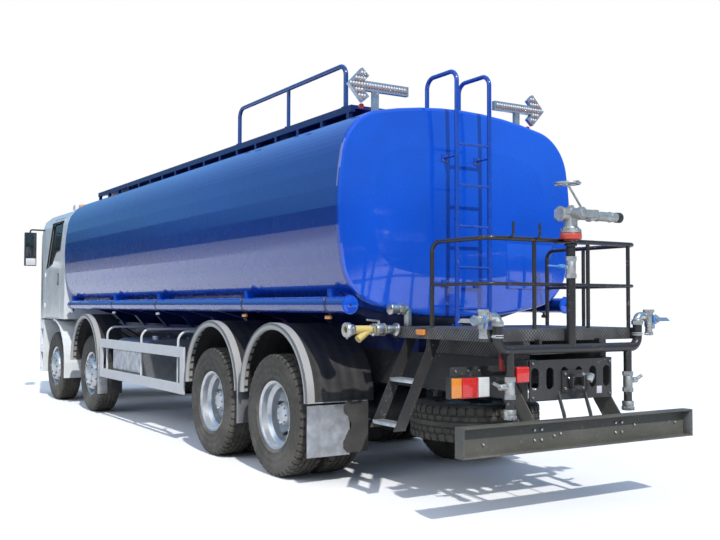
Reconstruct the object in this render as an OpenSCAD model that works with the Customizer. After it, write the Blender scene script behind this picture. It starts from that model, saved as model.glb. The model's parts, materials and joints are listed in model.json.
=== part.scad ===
// Eight-wheel water tanker with a rear work platform, spray bar and water monitor.
// +X points forward, +Y to the left side, +Z up. The origin is on the ground, at the
// centre of the vehicle's outer box. Lengths are in millimetres.

/* [Overall] */
// Length from the rear underrun bar to the front bumper
overall_l = 11620; // [11300:10:12200]
// Rear axle to the rear end of the vehicle
rear_overhang = 2520; // [2450:10:2700]
// Distance between the two driven axles
drive_spread = 1370; // [1310:10:1450]
// Second steered axle to the first driven axle
mid_wheelbase = 4445; // [4300:5:4600]
// Distance between the two steered axles
steer_spread = 1937; // [1850:1:2000]

/* [Wheels] */
// Free radius of a tyre
tyre_r = 531; // [515:1:545]
// Section width of a tyre
tyre_w = 296; // [270:1:305]
// Radius of the rim's outer flange
rim_flange_r = 298; // [290:1:305]
// Centre plane of a steered wheel, from the vehicle's centre line
steer_wheel_y = 1030; // [1015:1:1045]
// Centre plane of an outer twin wheel, from the vehicle's centre line
outer_wheel_y = 1098; // [1085:1:1105]
// Distance between the centre planes of two twin wheels
twin_gap = 344; // [335:1:350]
// Kingpin axis, from the vehicle's centre line
kingpin_y = 900; // [890:1:910]

/* [Frame] */
// Outer width of the ladder frame
frame_w = 850; // [800:10:880]
// Height of a frame rail
frame_h = 290; // [250:10:310]
// Top of the frame rails above the ground
frame_top = 1105; // [1080:5:1110]
// Thickness of the folded frame steel
frame_t = 9; // [8:1:14]

/* [Tank] */
// Length of the tank without its dished ends
tank_l = 8063; // [7400:1:8070]
// Largest width of the tank
tank_w = 2500; // [2300:10:2550]
// Height of the tank on its centre line
tank_h = 1770; // [1600:10:1850]
// Lowest point of the tank above the ground
tank_z = 1385; // [1360:5:1450]
// Radius of the four rounded edges of the tank
tank_corner_r = 428; // [300:1:500]
// Depth of a dished end
tank_dish = 45; // [30:1:70]
// Tank's rear end behind the rear axle
tank_behind_axle = 1085; // [1050:5:1150]

/* [Cab] */
// Length of the cab from back wall to front face
cab_l = 1990; // [1900:10:2000]
// Width of the cab
cab_w = 2440; // [2350:10:2480]
// Top of the cab above the ground
cab_top = 2990; // [2850:10:3000]
// Underside of the cab floor above the ground
cab_floor = 1275; // [1270:5:1300]
// Thickness of doors and cab walls
wall_t = 55; // [40:1:70]

/* [Platform] */
// Top of the rear work platform above the ground
deck_top = 1322; // [1300:1:1340]
// Width of the rear work platform
deck_w = 1480; // [1300:10:1600]
// Height of the platform's top rail above the platform
rail_h = 645; // [550:5:700]
// Diameter of the platform's rail tubes
rail_d = 34; // [27:1:42]

/* [Water] */
// Outer diameter of the spray pipe
pipe_d = 70; // [60:1:80]
// Outer diameter of the hose tube beside the tank
hose_tube_d = 134; // [110:1:150]

/* [Hidden] */
$fn = 48;

seat = 0.3;            // gap at which one piece rests on another
fit = 0.05;            // running clearance of a pin in its bore
wheel_z = tyre_r;     // height of the wheel centres
x_rear = -overall_l / 2;
x_front = overall_l / 2;
x_axle4 = x_rear + rear_overhang;
x_axle3 = x_axle4 + drive_spread;
x_axle2 = x_axle3 + mid_wheelbase;
x_axle1 = x_axle2 + steer_spread;
x_tank0 = x_axle4 - tank_behind_axle;   // tank's rear rim
x_tank1 = x_tank0 + tank_l;             // tank's front rim
tank_zc = tank_z + tank_h / 2;
tank_top = tank_z + tank_h;
frame_bottom = frame_top - frame_h;
frame_end = x_rear + 172;               // rear end of the frame rails
frame_front = x_front - 290;            // front end of the frame rails
x_cab1 = x_front - 20;                  // cab's front face
x_cab0 = x_cab1 - cab_l;                // cab's back wall

// ---- helpers ----
function unit(v) = v / norm(v);
function arc(c, r, a0, a1, n) =
    [for (i = [0:n]) let (a = a0 + (a1 - a0) * i / n) [c[0] + r * cos(a), c[1] + r * sin(a)]];
module box(x0, x1, y0, y1, z0, z1) {
    translate([x0, y0, z0]) cube([x1 - x0, y1 - y0, z1 - z0]);
}
module both_sides() {
    children();
    mirror([0, 1, 0]) children();
}
// A straight round bar from p to q.
module rod(p, q, r) {
    d = q - p;
    h = norm(d);
    translate(p)
        rotate([0, acos(d[2] / h), atan2(d[1], d[0])])
            cylinder(h = h, r = r);
}
// One bend of a pipe, of bend radius big, at corner p between directions d1 and d2.
module pipe_bend(p, d1, d2, r, big) {
    turn = acos(d1 * d2);
    n = unit(d2 - d1 * (d1 * d2));
    c = p - d1 * big * tan(turn / 2) + n * big;
    z = cross(d1, n);
    multmatrix([[-n[0], d1[0], z[0], c[0]], [-n[1], d1[1], z[1], c[1]],
                [-n[2], d1[2], z[2], c[2]]])
        rotate_extrude(angle = turn) translate([big, 0]) circle(r = r);
}
// A round pipe through points, with every corner bent to radius big.
module pipe(points, r, big) {
    last = len(points) - 1;
    dirs = [for (i = [0:last - 1]) unit(points[i + 1] - points[i])];
    back = [for (i = [0:last]) (i == 0 || i == last) ? 0
        : big * tan(acos(dirs[i - 1] * dirs[i]) / 2)];
    for (i = [0:last - 1])
        rod(points[i] + dirs[i] * back[i], points[i + 1] - dirs[i] * back[i + 1], r);
    if (last > 1)
        for (i = [1:last - 1]) pipe_bend(points[i], dirs[i - 1], dirs[i], r, big);
}
// A flat outline in the Y-Z plane, extruded from x0 to x1.
module along_x(x0, x1) {
    translate([x0, 0, 0]) rotate([90, 0, 90]) linear_extrude(x1 - x0) children();
}
// A flat outline in the X-Z plane, extruded from y0 to y1.
module along_y(y0, y1) {
    translate([0, y1, 0]) rotate([90, 0, 0]) linear_extrude(y1 - y0) children();
}

// ---- tank ----
crown_r = 4000;   // radius of the tank's top and bottom
flank_r = 2400;   // radius of the tank's sides
// Centre of a rounded edge, which touches the crown's and the flank's circles.
function corner_centre(g) =
    let (t = [0, tank_h / 2 - crown_r], s = [tank_w / 2 - flank_r, 0],
         r1 = crown_r - tank_corner_r, r2 = flank_r - tank_corner_r,
         d = norm(s - t), u = (s - t) / d,
         k = (r1 * r1 - r2 * r2 + d * d) / (2 * d), h = sqrt(r1 * r1 - k * k))
    t + u * k + [u[1], -u[0]] * h;
// A quarter of the section, grown outwards by g, from the side to the top.
function tank_quarter(g) =
    let (c = corner_centre(g), t = [0, tank_h / 2 - crown_r],
         s = [tank_w / 2 - flank_r, 0],
         a1 = atan2(c[1] - s[1], c[0] - s[0]), a2 = atan2(c[1] - t[1], c[0] - t[0]))
    concat(arc(s, flank_r + g, 0, a1, 3), arc(c, tank_corner_r + g, a1 + 6, a2 - 5, 9),
           arc(t, crown_r + g, a2, 90, 4));
function flip(points, sx, sy) =
    let (n = len(points))
    [for (i = [0:n - 1]) let (p = sx * sy > 0 ? points[i] : points[n - 1 - i])
        [p[0] * sx, p[1] * sy]];
function tank_section(g) = concat(
    tank_quarter(g), flip(tank_quarter(g), -1, 1),
    flip(tank_quarter(g), -1, -1), flip(tank_quarter(g), 1, -1));
module tank_outline(g = 0) {
    translate([0, tank_zc]) polygon(tank_section(g));
}
manhole_r = 260;
manhole_h = 165;
lid_h = 30;
// x, y, radius, height of the fittings on the tank's top
fittings = [
    [x_axle4 + 1600, 0, manhole_r, manhole_h],
    [x_axle4 + 5900, 0, manhole_r, manhole_h],
    [x_axle4 + 4350, 150, 60, 210],
    [x_axle4 + 3200, 150, 60, 150]];
// how far out, and how far in from the section, each ring of a folded and crowned head lies
head_rings = [[0, 0], [11, 4], [20, 12], [tank_dish - 18, 30], [tank_dish, 330]];
module tank() {
    color("royalblue") {
        along_x(x_tank0, x_tank1) tank_outline();
        for (end = [[x_tank1, 1], [x_tank0, -1]], i = [0:len(head_rings) - 2])
            let (a = head_rings[i], b = head_rings[i + 1])
            translate([end[0] + end[1] * a[0], 0, tank_zc]) rotate([90, 0, 90 * end[1]])
                linear_extrude(b[0] - a[0], slices = 1, scale = [(tank_w / 2 - b[1]) / (tank_w / 2 - a[1]),
                    (tank_h / 2 - b[1]) / (tank_h / 2 - a[1])])
                    polygon(tank_section(-a[1]));
        for (f = fittings)
            translate([f[0], f[1], tank_top - 60]) cylinder(h = 60 + f[3], r = f[2]);
        difference() {
            both_sides()
                {
                    box(fittings[0][0] + manhole_r - 30, lid_hinge_x + 24, 95, 115,
                        tank_top - 40, lid_z - 4);
                    box(lid_hinge_x - 18, lid_hinge_x + 24, 95, 115, lid_z - 5, lid_z + lid_h);
                }
            rod([lid_hinge_x, -130, lid_z + lid_h / 2], [lid_hinge_x, 130, lid_z + lid_h / 2],
                hinge_r + fit);
        }
    }
}
hinge_r = 14;
// The lid of the rear manhole hinges on its forward edge.
lid_hinge_x = fittings[0][0] + manhole_r + 45;
lid_z = tank_top + manhole_h + seat;
module manhole_lid() {
    x = fittings[0][0];
    color("royalblue") {
        translate([x, 0, lid_z]) cylinder(h = lid_h, r = manhole_r + 15);
        translate([x, 0, lid_z + lid_h]) cylinder(h = 35, r1 = manhole_r - 20, r2 = 150);
        for (y = [-70, 70])
            box(x + manhole_r - 30, lid_hinge_x, y - 12, y + 12, lid_z + 2, lid_z + lid_h - 2);
        rod([lid_hinge_x, -118, lid_z + lid_h / 2], [lid_hinge_x, 118, lid_z + lid_h / 2], hinge_r);
    }
}

// ---- frame ----
rail_flange = 85;
module frame_rail() {
    y1 = frame_w / 2;
    along_x(frame_end, frame_front)
        polygon([[y1, frame_bottom], [y1, frame_top], [y1 - rail_flange, frame_top],
            [y1 - rail_flange, frame_top - frame_t], [y1 - frame_t, frame_top - frame_t],
            [y1 - frame_t, frame_bottom + frame_t], [y1 - rail_flange, frame_bottom + frame_t],
            [y1 - rail_flange, frame_bottom]]);
}
crossmembers = [x_axle4 - 1700, x_axle4 - 700, x_axle4 + 685, x_axle3 + 900, x_axle3 + 1900,
    x_axle3 + 2900, x_axle2 - 560, frame_front - 80];
hinge_x = x_cab1 - 130;                 // the cab tilts about this axis
hinge_z = 1060;
pin_cab = 15;
module frame() {
    color("dimgray") {
        both_sides() frame_rail();
        for (x = crossmembers)
            box(x - 45, x + 45, -frame_w / 2 + frame_t / 2, frame_w / 2 - frame_t / 2,
                frame_bottom + 60, frame_top - 60);
        difference() {
            both_sides()
                box(frame_front - 90, hinge_x + 30, frame_w / 2 - 40, frame_w / 2,
                    hinge_z - 40, frame_top - 2);
            rod([hinge_x, -frame_w / 2 - 5, hinge_z], [hinge_x, frame_w / 2 + 5, hinge_z], pin_cab + fit);
        }
        both_sides() {
            box(x_cab0 + 60, x_cab0 + 160, frame_w / 2 - 80, frame_w / 2, frame_top - 2, cab_floor - 90);
            box(x_cab0 + 60, x_cab0 + 160, -10, frame_w / 2 + 60, cab_floor - 90, cab_floor - seat);
        }
    }
}
slots = 6;
slot_r = 37;
slot_wall = 12;       // between an outer slot and the plate's end
slot_rise = 112;      // from the frame's foot to a slot's lower centre
slot_h = 84;
jaw_r = 21;
jaw_x = frame_end - 55;
jaw_z = frame_bottom + 130;
module rear_crossmember() {
    x0 = frame_end - 12;
    w = frame_w / 2 - 18;
    first = slot_r + slot_wall - w;
    pitch = -2 * first / (slots - 1);
    color("dimgray") {
        difference() {
            box(x0, frame_end - seat, -w, w, frame_bottom - 5, frame_top - 4);
            for (i = [0:slots - 1])
                let (y = first + pitch * i)
                for (z = [frame_bottom + slot_rise, frame_bottom + slot_rise + slot_h])
                    rod([x0 - 5, y, z], [x0 + 20, y, z], slot_r);
            for (i = [0:slots - 1])
                let (y = first + pitch * i)
                box(x0 - 5, x0 + 20, y - slot_r, y + slot_r,
                    frame_bottom + slot_rise, frame_bottom + slot_rise + slot_h);
        }
        difference() {
            union() {
                box(x0 - 18, x0, -110, 110, jaw_z - 75, jaw_z + 75);
                for (z = [jaw_z - 52, jaw_z + 32]) box(jaw_x, x0 - 18, -45, 45, z, z + 20);
                for (z = [jaw_z - 52, jaw_z + 32]) translate([jaw_x, 0, z]) cylinder(h = 20, r = 45);
            }
            translate([jaw_x, 0, jaw_z - 90]) cylinder(h = 180, r = jaw_r);
        }
    }
}

// ---- tank subframe ----
saddles = 9;
guard_r = 650;        // outer radius of a mudguard's arch
guard_z = 683;        // its centre
guard_in = 590;       // its inner edge
saddle_y = 950;
saddle_z = guard_z + guard_r + 12;
module tank_subframe() {
    sub_h = 130;
    y1 = frame_w / 2;
    color("midnightblue")
        difference() {
            union() {
                both_sides()
                    box(x_tank0 + 40, x_tank1 - 60, y1 - 80, y1, frame_top + seat, frame_top + sub_h);
                for (i = [0:saddles - 1])
                    let (x = x_tank0 + 350 + i * (tank_l - 700) / (saddles - 1))
                    along_x(x - 40, x + 40)
                        polygon([[-y1, frame_top + sub_h - 50], [y1, frame_top + sub_h - 50],
                            [guard_in - 25, saddle_z], [saddle_y, tank_z + 60], [saddle_y, tank_z + 140],
                            [-saddle_y, tank_z + 140], [-saddle_y, tank_z + 60],
                            [25 - guard_in, saddle_z]]);
            }
            along_x(x_tank0 - 10, x_tank1 + 10) tank_outline(seat);
        }
}

// ---- walkway on the tank ----
walk_y = 780;          // side edge of the walkway
walk_t = 30;
walk_z = tank_top + 60;
beam_w = 40;
module walkway() {
    x0 = x_tank0 + 535;
    x1 = x_tank1 - 100;
    stubs = 17;
    color("navy")
        difference() {
            union() {
                both_sides() {
                    box(x0, x1, walk_y - beam_w, walk_y, walk_z - 60, walk_z);
                    for (i = [0:stubs - 1])
                        let (x = x0 + 60 + i * (x1 - x0 - 120) / (stubs - 1))
                        box(x - 20, x + 20, walk_y - beam_w, walk_y, tank_zc, walk_z - 60);
                }
                box(x0, x1, -walk_y + beam_w, walk_y - beam_w, walk_z - walk_t, walk_z);
            }
            for (f = fittings)
                translate([f[0], f[1], tank_zc]) cylinder(h = tank_h, r = f[2] + 110);
            along_x(x_tank0, x_tank1) tank_outline(seat);
        }
}
post_x = [x_axle4 - 430, x_axle4 + 640, x_axle4 + 1760];
handrail_r = 21;
handrail_top = tank_top + 435;
module top_handrail() {
    y = walk_y - beam_w / 2;
    color("navy") {
        pipe([[post_x[0], y, walk_z + 8], [post_x[0], y, handrail_top],
            [post_x[2], y, handrail_top], [post_x[2], y, walk_z + 8]], handrail_r, 95);
        rod([post_x[1], y, walk_z + 8], [post_x[1], y, handrail_top], handrail_r - 3);
        for (x = post_x) box(x - 45, x + 45, y - 20, y + 20, walk_z + seat, walk_z + 8);
    }
}

// ---- rear ladder ----
ladder_x = x_tank0 - 215;
ladder_y = 50;
ladder_w = 345;
ladder_r = 19;
ladder_top = tank_top + 275;
rung_pitch = 340;
module rear_ladder() {
    loop_l = 410;
    color("royalblue") {
        difference() {
            for (s = [-1, 1])
                let (y = ladder_y + s * ladder_w / 2)
                pipe([[ladder_x, y, deck_top + seat], [ladder_x, y, ladder_top],
                    [ladder_x + loop_l, y, ladder_top], [ladder_x + loop_l, y, tank_zc]],
                    ladder_r, 90);
            along_x(x_tank0, x_tank1) tank_outline(seat);
        }
        for (i = [0:4])
            rod([ladder_x, ladder_y - ladder_w / 2, deck_top + 140 + i * rung_pitch],
                [ladder_x, ladder_y + ladder_w / 2, deck_top + 140 + i * rung_pitch], 11);
        for (z = [deck_top + 350, deck_top + 1400])
            for (s = [-1, 1])
                let (y = ladder_y + s * ladder_w / 2)
                rod([ladder_x, y, z], [x_tank0 - tank_dish - seat, y, z], 10);
    }
}

// ---- rear work platform ----
deck_x0 = x_rear + 212;                 // rear edge
deck_x1 = x_tank0 - tank_dish - 8;      // front edge, behind the tank
deck_lip = 86;
deck_right = 800;                       // the deck reaches this far to the right
module deck() {
    y1 = deck_w / 2;
    color("dimgray") {
        box(deck_x0, deck_x1, -deck_right, y1, deck_top - 5, deck_top);
        for (y = [y1 - 5, -deck_right]) box(deck_x0, deck_x1, y, y + 5, deck_top - deck_lip, deck_top);
        box(deck_x0, deck_x0 + 5, -deck_right, y1, deck_top - deck_lip, deck_top);
        for (y = [-frame_w / 2 + 40, frame_w / 2 - 40])
            box(deck_x0 + 5, deck_x1, y - 30, y + 30, frame_top + seat, deck_top - 5);
    }
}
rail_r = rail_d / 2;
rail_y = deck_w / 2 - 12;
rail_right = 20 - deck_right;            // y of the right-hand rail
rail_x = deck_x0 + 25;
rail_z = deck_top + rail_h;
mid_z = deck_top + rail_h / 2;
left_gate_x = x_axle4 - 1640;           // forward end of the left rail
right_gate_x = x_axle4 - 1290;          // forward end of the right rail
rear_posts = [290, -250, rail_right + 95];
module deck_railing() {
    foot = deck_top + seat;
    color("dimgray") {
        pipe([[left_gate_x, rail_y, foot], [left_gate_x, rail_y, rail_z], [rail_x, rail_y, rail_z],
            [rail_x, rail_right, rail_z], [right_gate_x, rail_right, rail_z],
            [right_gate_x, rail_right, foot]],
            rail_r, 85);
        pipe([[left_gate_x, rail_y, mid_z], [rail_x, rail_y, mid_z], [rail_x, rail_right, mid_z],
            [right_gate_x, rail_right, mid_z]], rail_r - 4, 85);
        for (y = rear_posts) rod([rail_x, y, foot], [rail_x, y, rail_z], rail_r - 2);
        rod([x_axle4 - 1720, rail_right, foot], [x_axle4 - 1720, rail_right, rail_z], rail_r - 2);
        for (y = [290, 540])
            pipe([[rail_x + 25, y, rail_z + 8], [rail_x - 60, y, rail_z + 8],
                [rail_x - 60, y, rail_z + 115]], 9, 25);
    }
}
step_x0 = x_axle4 - 1620;
step_x1 = x_axle4 - 1300;
step_foot = [1065, 560];                // y, z of the steps' outer lower corner
plate_w = 105;
tread_z = [590, 905];
module deck_steps() {
    y0 = deck_w / 2 - 5 - seat;
    z0 = deck_top - 5 - seat;
    z1 = deck_top - deck_lip - 4;
    slope = (step_foot[0] - y0) / (z1 - step_foot[1]);
    color("dimgray") {
        for (x = [step_x0, step_x1 - 6])
            along_x(x, x + 6)
                polygon([[y0, z0], [y0, z1], step_foot, step_foot - [plate_w, 0],
                    [y0 - plate_w, z1], [y0 - plate_w, z0]]);
        for (z = tread_z)
            let (y = step_foot[0] - (z - step_foot[1]) * slope)
            box(step_x0, step_x1, y - plate_w, y - 15, z, z + 28);
    }
}

// ---- rear underrun bar ----
bar_w = 2258;
bar_h = 205;
bar_z = 485;
bar_depth = 92;
module underrun_bar() {
    x0 = x_rear;
    x1 = x_rear + bar_depth;
    y1 = bar_w / 2;
    color("dimgray") {
        box(x1 - 8, x1, -y1, y1, bar_z, bar_z + bar_h);
        for (z = [bar_z, bar_z + bar_h - 8]) box(x0 + 6, x1, -y1, y1, z, z + 8);
        both_sides() box(x0, x1, y1 - 8, y1, bar_z, bar_z + bar_h);
        both_sides()
            along_y(frame_w / 2 + seat, frame_w / 2 + 10)
                polygon([[x1, bar_z + 40], [x1, bar_z + bar_h], [frame_end + 130, frame_bottom + 150],
                    [frame_end + 330, frame_bottom + 150], [x1 + 90, bar_z + 60]]);
        both_sides()
            along_y(125, 137)
                polygon([[x1, bar_z + bar_h - 60], [x1, bar_z + bar_h + 20],
                    [frame_end - 12 - seat, frame_bottom + 60], [frame_end - 12 - seat, frame_bottom]]);
    }
}

// ---- wheels ----
bead_r = 288;
disc_t = 12;
// Radius and half width of the tyre's outline, from bead to tread
tyre_shape = [[bead_r, 0.37], [bead_r + 20, 0.41], [bead_r + 75, 0.478], [bead_r + 125, 0.5],
    [bead_r + 180, 0.482], [tyre_r - 40, 0.455], [tyre_r - 8, 0.42], [tyre_r, 0.37]];
module tyre() {
    outer = [for (p = tyre_shape) [p[0], p[1] * tyre_w]];
    inner = [for (i = [len(tyre_shape) - 1:-1:0]) [tyre_shape[i][0], -tyre_shape[i][1] * tyre_w]];
    rotate([90, 0, 0]) rotate_extrude($fn = 96) polygon(concat(outer, inner));
}
hub_r = 140;          // pilot of a hub in the middle of its rims
vent_at = 233;        // hand holes of a rim
vent_r = 20;
disc_rise = 110;      // depth of a rim's bowl
flange_h = 13.5;      // half thickness of a driven hub's flange
twin_disc = twin_gap / 2 - flange_h - seat;   // mounting face of a twin rim's bowl
// A rim whose bowl reaches 'face' along the axle, in front (side = 1) or behind (side = -1).
module rim(face, side) {
    half = tyre_w * 0.37;
    rotate([-90, 0, 0]) {
        rotate_extrude($fn = 96)
            polygon([[rim_flange_r, half + 16], [rim_flange_r, half + 2], [bead_r - seat, half - 1],
                [bead_r - seat, -half + 1], [rim_flange_r, -half - 2], [rim_flange_r, -half - 16],
                [bead_r - 14, -half - 16], [bead_r - 16, -40], [bead_r - 45, -12], [bead_r - 45, 12],
                [bead_r - 16, 40], [bead_r - 14, half + 16]]);
        mirror([0, 0, side > 0 ? 0 : 1])
            difference() {
                rotate_extrude($fn = 96)
                    polygon([[hub_r + 0.5, face], [195, face], [bead_r - 10, face - disc_rise],
                        [bead_r - 10, face - disc_rise - disc_t - 8], [190, face - disc_t],
                        [hub_r + 0.5, face - disc_t]]);
                for (a = [0:36:324])
                    rotate([0, 0, a]) translate([vent_at, 0, 0]) cylinder(h = 2 * face, r = vent_r);
            }
    }
}
module hub(y0, y1, r) {
    rotate([-90, 0, 0]) translate([0, 0, y0]) cylinder(h = y1 - y0, r = r);
}
steer_disc = 155;     // outer face of a steered wheel's bowl, from its centre plane
// One steered wheel on the left, with its hub.
module steered_wheel(x) {
    translate([x, steer_wheel_y, wheel_z]) {
        color("black") tyre();
        color("silver") {
            rim(steer_disc, 1);
            difference() {
                union() {
                    hub(-40, steer_disc + 6, hub_r);
                    hub(steer_disc + 6, steer_disc + 30, 78);
                    hub(steer_disc - disc_t - 20, steer_disc - disc_t - seat, 186);
                }
                hub(-60, 60, spindle_r + fit);
            }
        }
    }
}
// One pair of twin wheels on the left, with their hub.
module twin_wheels(x) {
    inner_y = outer_wheel_y - twin_gap;
    translate([x, 0, wheel_z]) {
        for (y = [inner_y, outer_wheel_y]) translate([0, y, 0]) color("black") tyre();
        color("silver") {
            translate([0, outer_wheel_y, 0]) rim(twin_disc, -1);
            translate([0, inner_y, 0]) rim(twin_disc, 1);
            difference() {
                union() {
                    hub(axle_end + 12, outer_wheel_y - twin_gap / 2 + 40, hub_r);
                    hub(outer_wheel_y - twin_gap / 2 + 40, outer_wheel_y + 60, 105);
                    hub(outer_wheel_y - twin_gap / 2 - flange_h,
                        outer_wheel_y - twin_gap / 2 + flange_h, 186);
                }
                hub(0, axle_end + 220, spindle_r + fit);
            }
        }
    }
}
module spare_wheel() {
    x = x_axle4 - 1245;
    z = 434;
    translate([x, 0, z + tyre_w / 2]) rotate([90, 0, 0]) {
        color("black") tyre();
        color("silver") rim(twin_disc, -1);
    }
    disc_z = z + tyre_w / 2 - twin_disc;
    color("dimgray") {
        translate([x, 0, disc_z - 12]) cylinder(h = 12 - seat, r = 180);
        translate([x, 0, disc_z - 12]) cylinder(h = frame_bottom + 50 - disc_z, r = 30);
        box(x - 60, x + 60, -frame_w / 2 + frame_t + seat, frame_w / 2 - frame_t - seat,
            frame_bottom + frame_t + seat, frame_bottom + frame_t + 55);
    }
}

// ---- running gear ----
beam_r = 48;
pin_r = 24;
pin_h = 130;
knuckle_gap = 6;
spindle_r = 50;
axle_end = outer_wheel_y - twin_gap - 100;   // end of a driven axle's housing
module axle_beams() {
    color("dimgray") {
        for (x = [x_axle1, x_axle2]) {
            rod([x, -kingpin_y + 130, wheel_z - 90], [x, kingpin_y - 130, wheel_z - 90], beam_r);
            both_sides() {
                box(x - 50, x + 50, kingpin_y - 170, kingpin_y - 75, wheel_z - 138, wheel_z + 55);
                difference() {
                    union() {
                        box(x - 40, x + 40, kingpin_y - 100, kingpin_y, wheel_z - 50, wheel_z + 50);
                        translate([x, kingpin_y, wheel_z - 50]) cylinder(h = 100, r = 40);
                    }
                    translate([x, kingpin_y, wheel_z - 80]) cylinder(h = 160, r = pin_r + fit);
                }
            }
        }
        for (x = [x_axle3, x_axle4]) {
            rod([x, -axle_end, wheel_z], [x, axle_end, wheel_z], 75);
            rod([x, -axle_end - 200, wheel_z], [x, axle_end + 200, wheel_z], spindle_r);
            translate([x, 0, wheel_z]) sphere(r = 215);
            rod([x, 0, wheel_z + 30], [x + 330, 0, wheel_z + 30], 70);
        }
        rod([x_axle4 + 330, 0, wheel_z + 30], [x_axle3 - 205, 0, wheel_z + 30], 45);
        rod([x_axle3 + 330, 0, wheel_z + 30], [x_axle1 - 1762.7, 0, 790], 45);
    }
}
module knuckle(x) {
    color("dimgray") translate([x, kingpin_y, wheel_z]) {
        cylinder(h = pin_h, r = pin_r, center = true);
        for (z = [50 + knuckle_gap, -90]) translate([-45, -40, z]) cube([90, 90, 34]);
        translate([-45, 40 + knuckle_gap, -90]) cube([90, 30, 180 + knuckle_gap]);
        rotate([-90, 0, 0]) translate([0, 0, 60]) cylinder(h = 110, r = spindle_r);
    }
}
spring_w = 80;
leaf_t = 13;
leaves = 6;
module leaf_springs() {
    y = frame_w / 2 - spring_w / 2 - 2;
    bottom = wheel_z - 90 + beam_r + seat;
    top = bottom + leaves * leaf_t;
    color("dimgray") both_sides() {
        for (x = [x_axle1, x_axle2]) {
            for (i = [0:leaves - 1])
                let (half = 320 + i * 80)
                box(x - half, x + half, y - spring_w / 2, y + spring_w / 2,
                    bottom + i * leaf_t, bottom + (i + 1) * leaf_t);
            for (e = [-1, 1])
                box(x + e * 690 - 25, x + e * 690 + 25, y - 30, y + 30, top, frame_bottom - seat);
        }
        // driven axles share one spring, which rocks on a bracket between them
        box(x_axle4 - 110, x_axle3 + 110, y - spring_w / 2, y + spring_w / 2,
            wheel_z + 75 + seat, wheel_z + 75 + 70);
        box((x_axle4 + x_axle3) / 2 - 110, (x_axle4 + x_axle3) / 2 + 110, y - 35, y + 35,
            wheel_z + 75 + 70, frame_bottom - seat);
    }
}

// ---- mudguards ----
guard_t = 18;
// centre x, radius, inner y of each mudguard on the left side
arches = [
    [x_axle4 + 25, guard_r, guard_in],
    [x_axle3 + 25, guard_r, guard_in],
    [x_axle2 + 95, guard_r + 27, 860]];
guard_out = 1248;
stay_x = 300;         // the stays of a mudguard, fore and aft of its centre
stay_z = 300;
stay_r = 12;
module mudguards() {
    color("dimgray") both_sides()
        for (a = arches) {
            along_y(a[2], guard_out)
                translate([a[0], guard_z])
                    polygon(concat(arc([0, 0], a[1], 0, 180, 24), arc([0, 0], a[1] - guard_t, 180, 0, 24)));
            let (rise = sqrt(a[1] * a[1] - stay_x * stay_x) - stay_z - 10,
                run = a[2] + 60 - frame_w / 2, lean = stay_r * rise / norm([rise, run]))
            for (e = [-1, 1])
                rod([a[0] + e * stay_x, frame_w / 2 + seat + lean, guard_z + stay_z],
                    [a[0] + e * stay_x, a[2] + 60, guard_z + stay_z + rise], stay_r);
        }
}
// bottom z of the flap behind each mudguard, and its inner y
flaps = [[240, 645], [380, 645], [290, 900]];
module mudflaps() {
    color("gray") both_sides()
        for (i = [0:len(flaps) - 1])
            let (x = arches[i][0] - arches[i][1])
            box(x - 8, x - seat, flaps[i][1], guard_out, flaps[i][0], guard_z + 30);
}

// ---- side equipment ----
guard_x0 = x_axle3 + 750;
guard_x1 = x_axle3 + 3775;
guard_y = 1215;
module side_guards() {
    z0 = 535;
    z1 = 1040;
    bar = 112;
    color("gainsboro") both_sides() {
        for (z = [z0, z1 - bar]) box(guard_x0, guard_x1, guard_y, guard_y + 25, z, z + bar);
        for (x = [guard_x0, guard_x1 - 95]) box(x, x + 95, guard_y, guard_y + 25, z0 + bar, z1 - bar);
        for (f = [0.08, 0.48, 0.93])
            let (x = guard_x0 + f * (guard_x1 - guard_x0))
            pipe([[x, guard_y - 14, z0 + 20], [x, guard_y - 14, 1200], [x, frame_w / 2 + seat, 1200]], 14, 110);
    }
}
module fuel_tank() {
    x0 = guard_x0 + 1500;
    x1 = guard_x0 + 2650;
    y0 = frame_w / 2 + 75;
    color("silver") {
        along_x(x0, x1)
            polygon(concat(arc([1010, 690], 160, -80, 0, 8), arc([1010, 900], 160, 0, 90, 8),
                arc([y0 + 60, 1000], 60, 90, 180, 4), arc([y0 + 60, 600], 60, 180, 270, 4)));
        translate([x0 + 250, 900, 1055]) cylinder(h = 50, r = 55);
        for (x = [x0 + 200, x1 - 260])
            box(x, x + 60, frame_w / 2 + seat, y0 + 2, 560, frame_top - 20);
    }
}
module service_boxes() {
    y0 = frame_w / 2 + 75;
    x0 = guard_x0 + 200;
    color("dimgray") mirror([0, 1, 0]) {
        box(x0, x0 + 780, y0, 1150, 560, 1040);
        for (i = [0:1])
            rod([x0 + 900, 720 + i * 300, 760], [x0 + 1750, 720 + i * 300, 760], 125);
        rod([x0 + 1900, 820, 760], [x0 + 2600, 820, 760], 210);
        for (x = [x0 + 300, x0 + 1200, x0 + 2200])
            box(x, x + 80, frame_w / 2 + seat, 640, 700, frame_top - 20);
        for (x = [x0 + 1200])
            box(x, x + 80, 640, 1060, 630, 655);
    }
}
tube_y = 1148;
tube_z = 1494;
clamps = [x_axle4 - 850, x_axle4 + 720, x_axle4 + 3090, x_axle4 + 4750, x_axle4 + 6800];
module hose_tubes() {
    r = hose_tube_d / 2;
    x0 = x_axle4 - 1130;
    x1 = x_axle4 + 6920;
    color("royalblue") both_sides()
        difference() {
            union() {
                rod([x0, tube_y, tube_z], [x1, tube_y, tube_z], r);
                rod([x0 - 12, tube_y, tube_z], [x0, tube_y, tube_z], r + 8);
                for (x = clamps)
                    box(x - 15, x + 15, tube_y - 120, tube_y + 30, tube_z + 20, tube_z + 130);
            }
            along_x(x_tank0 - 2, x_tank1 + 2) tank_outline(seat);
        }
}
lamp_z = 1392;
lamp_x = x_axle4 - 2150;
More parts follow.
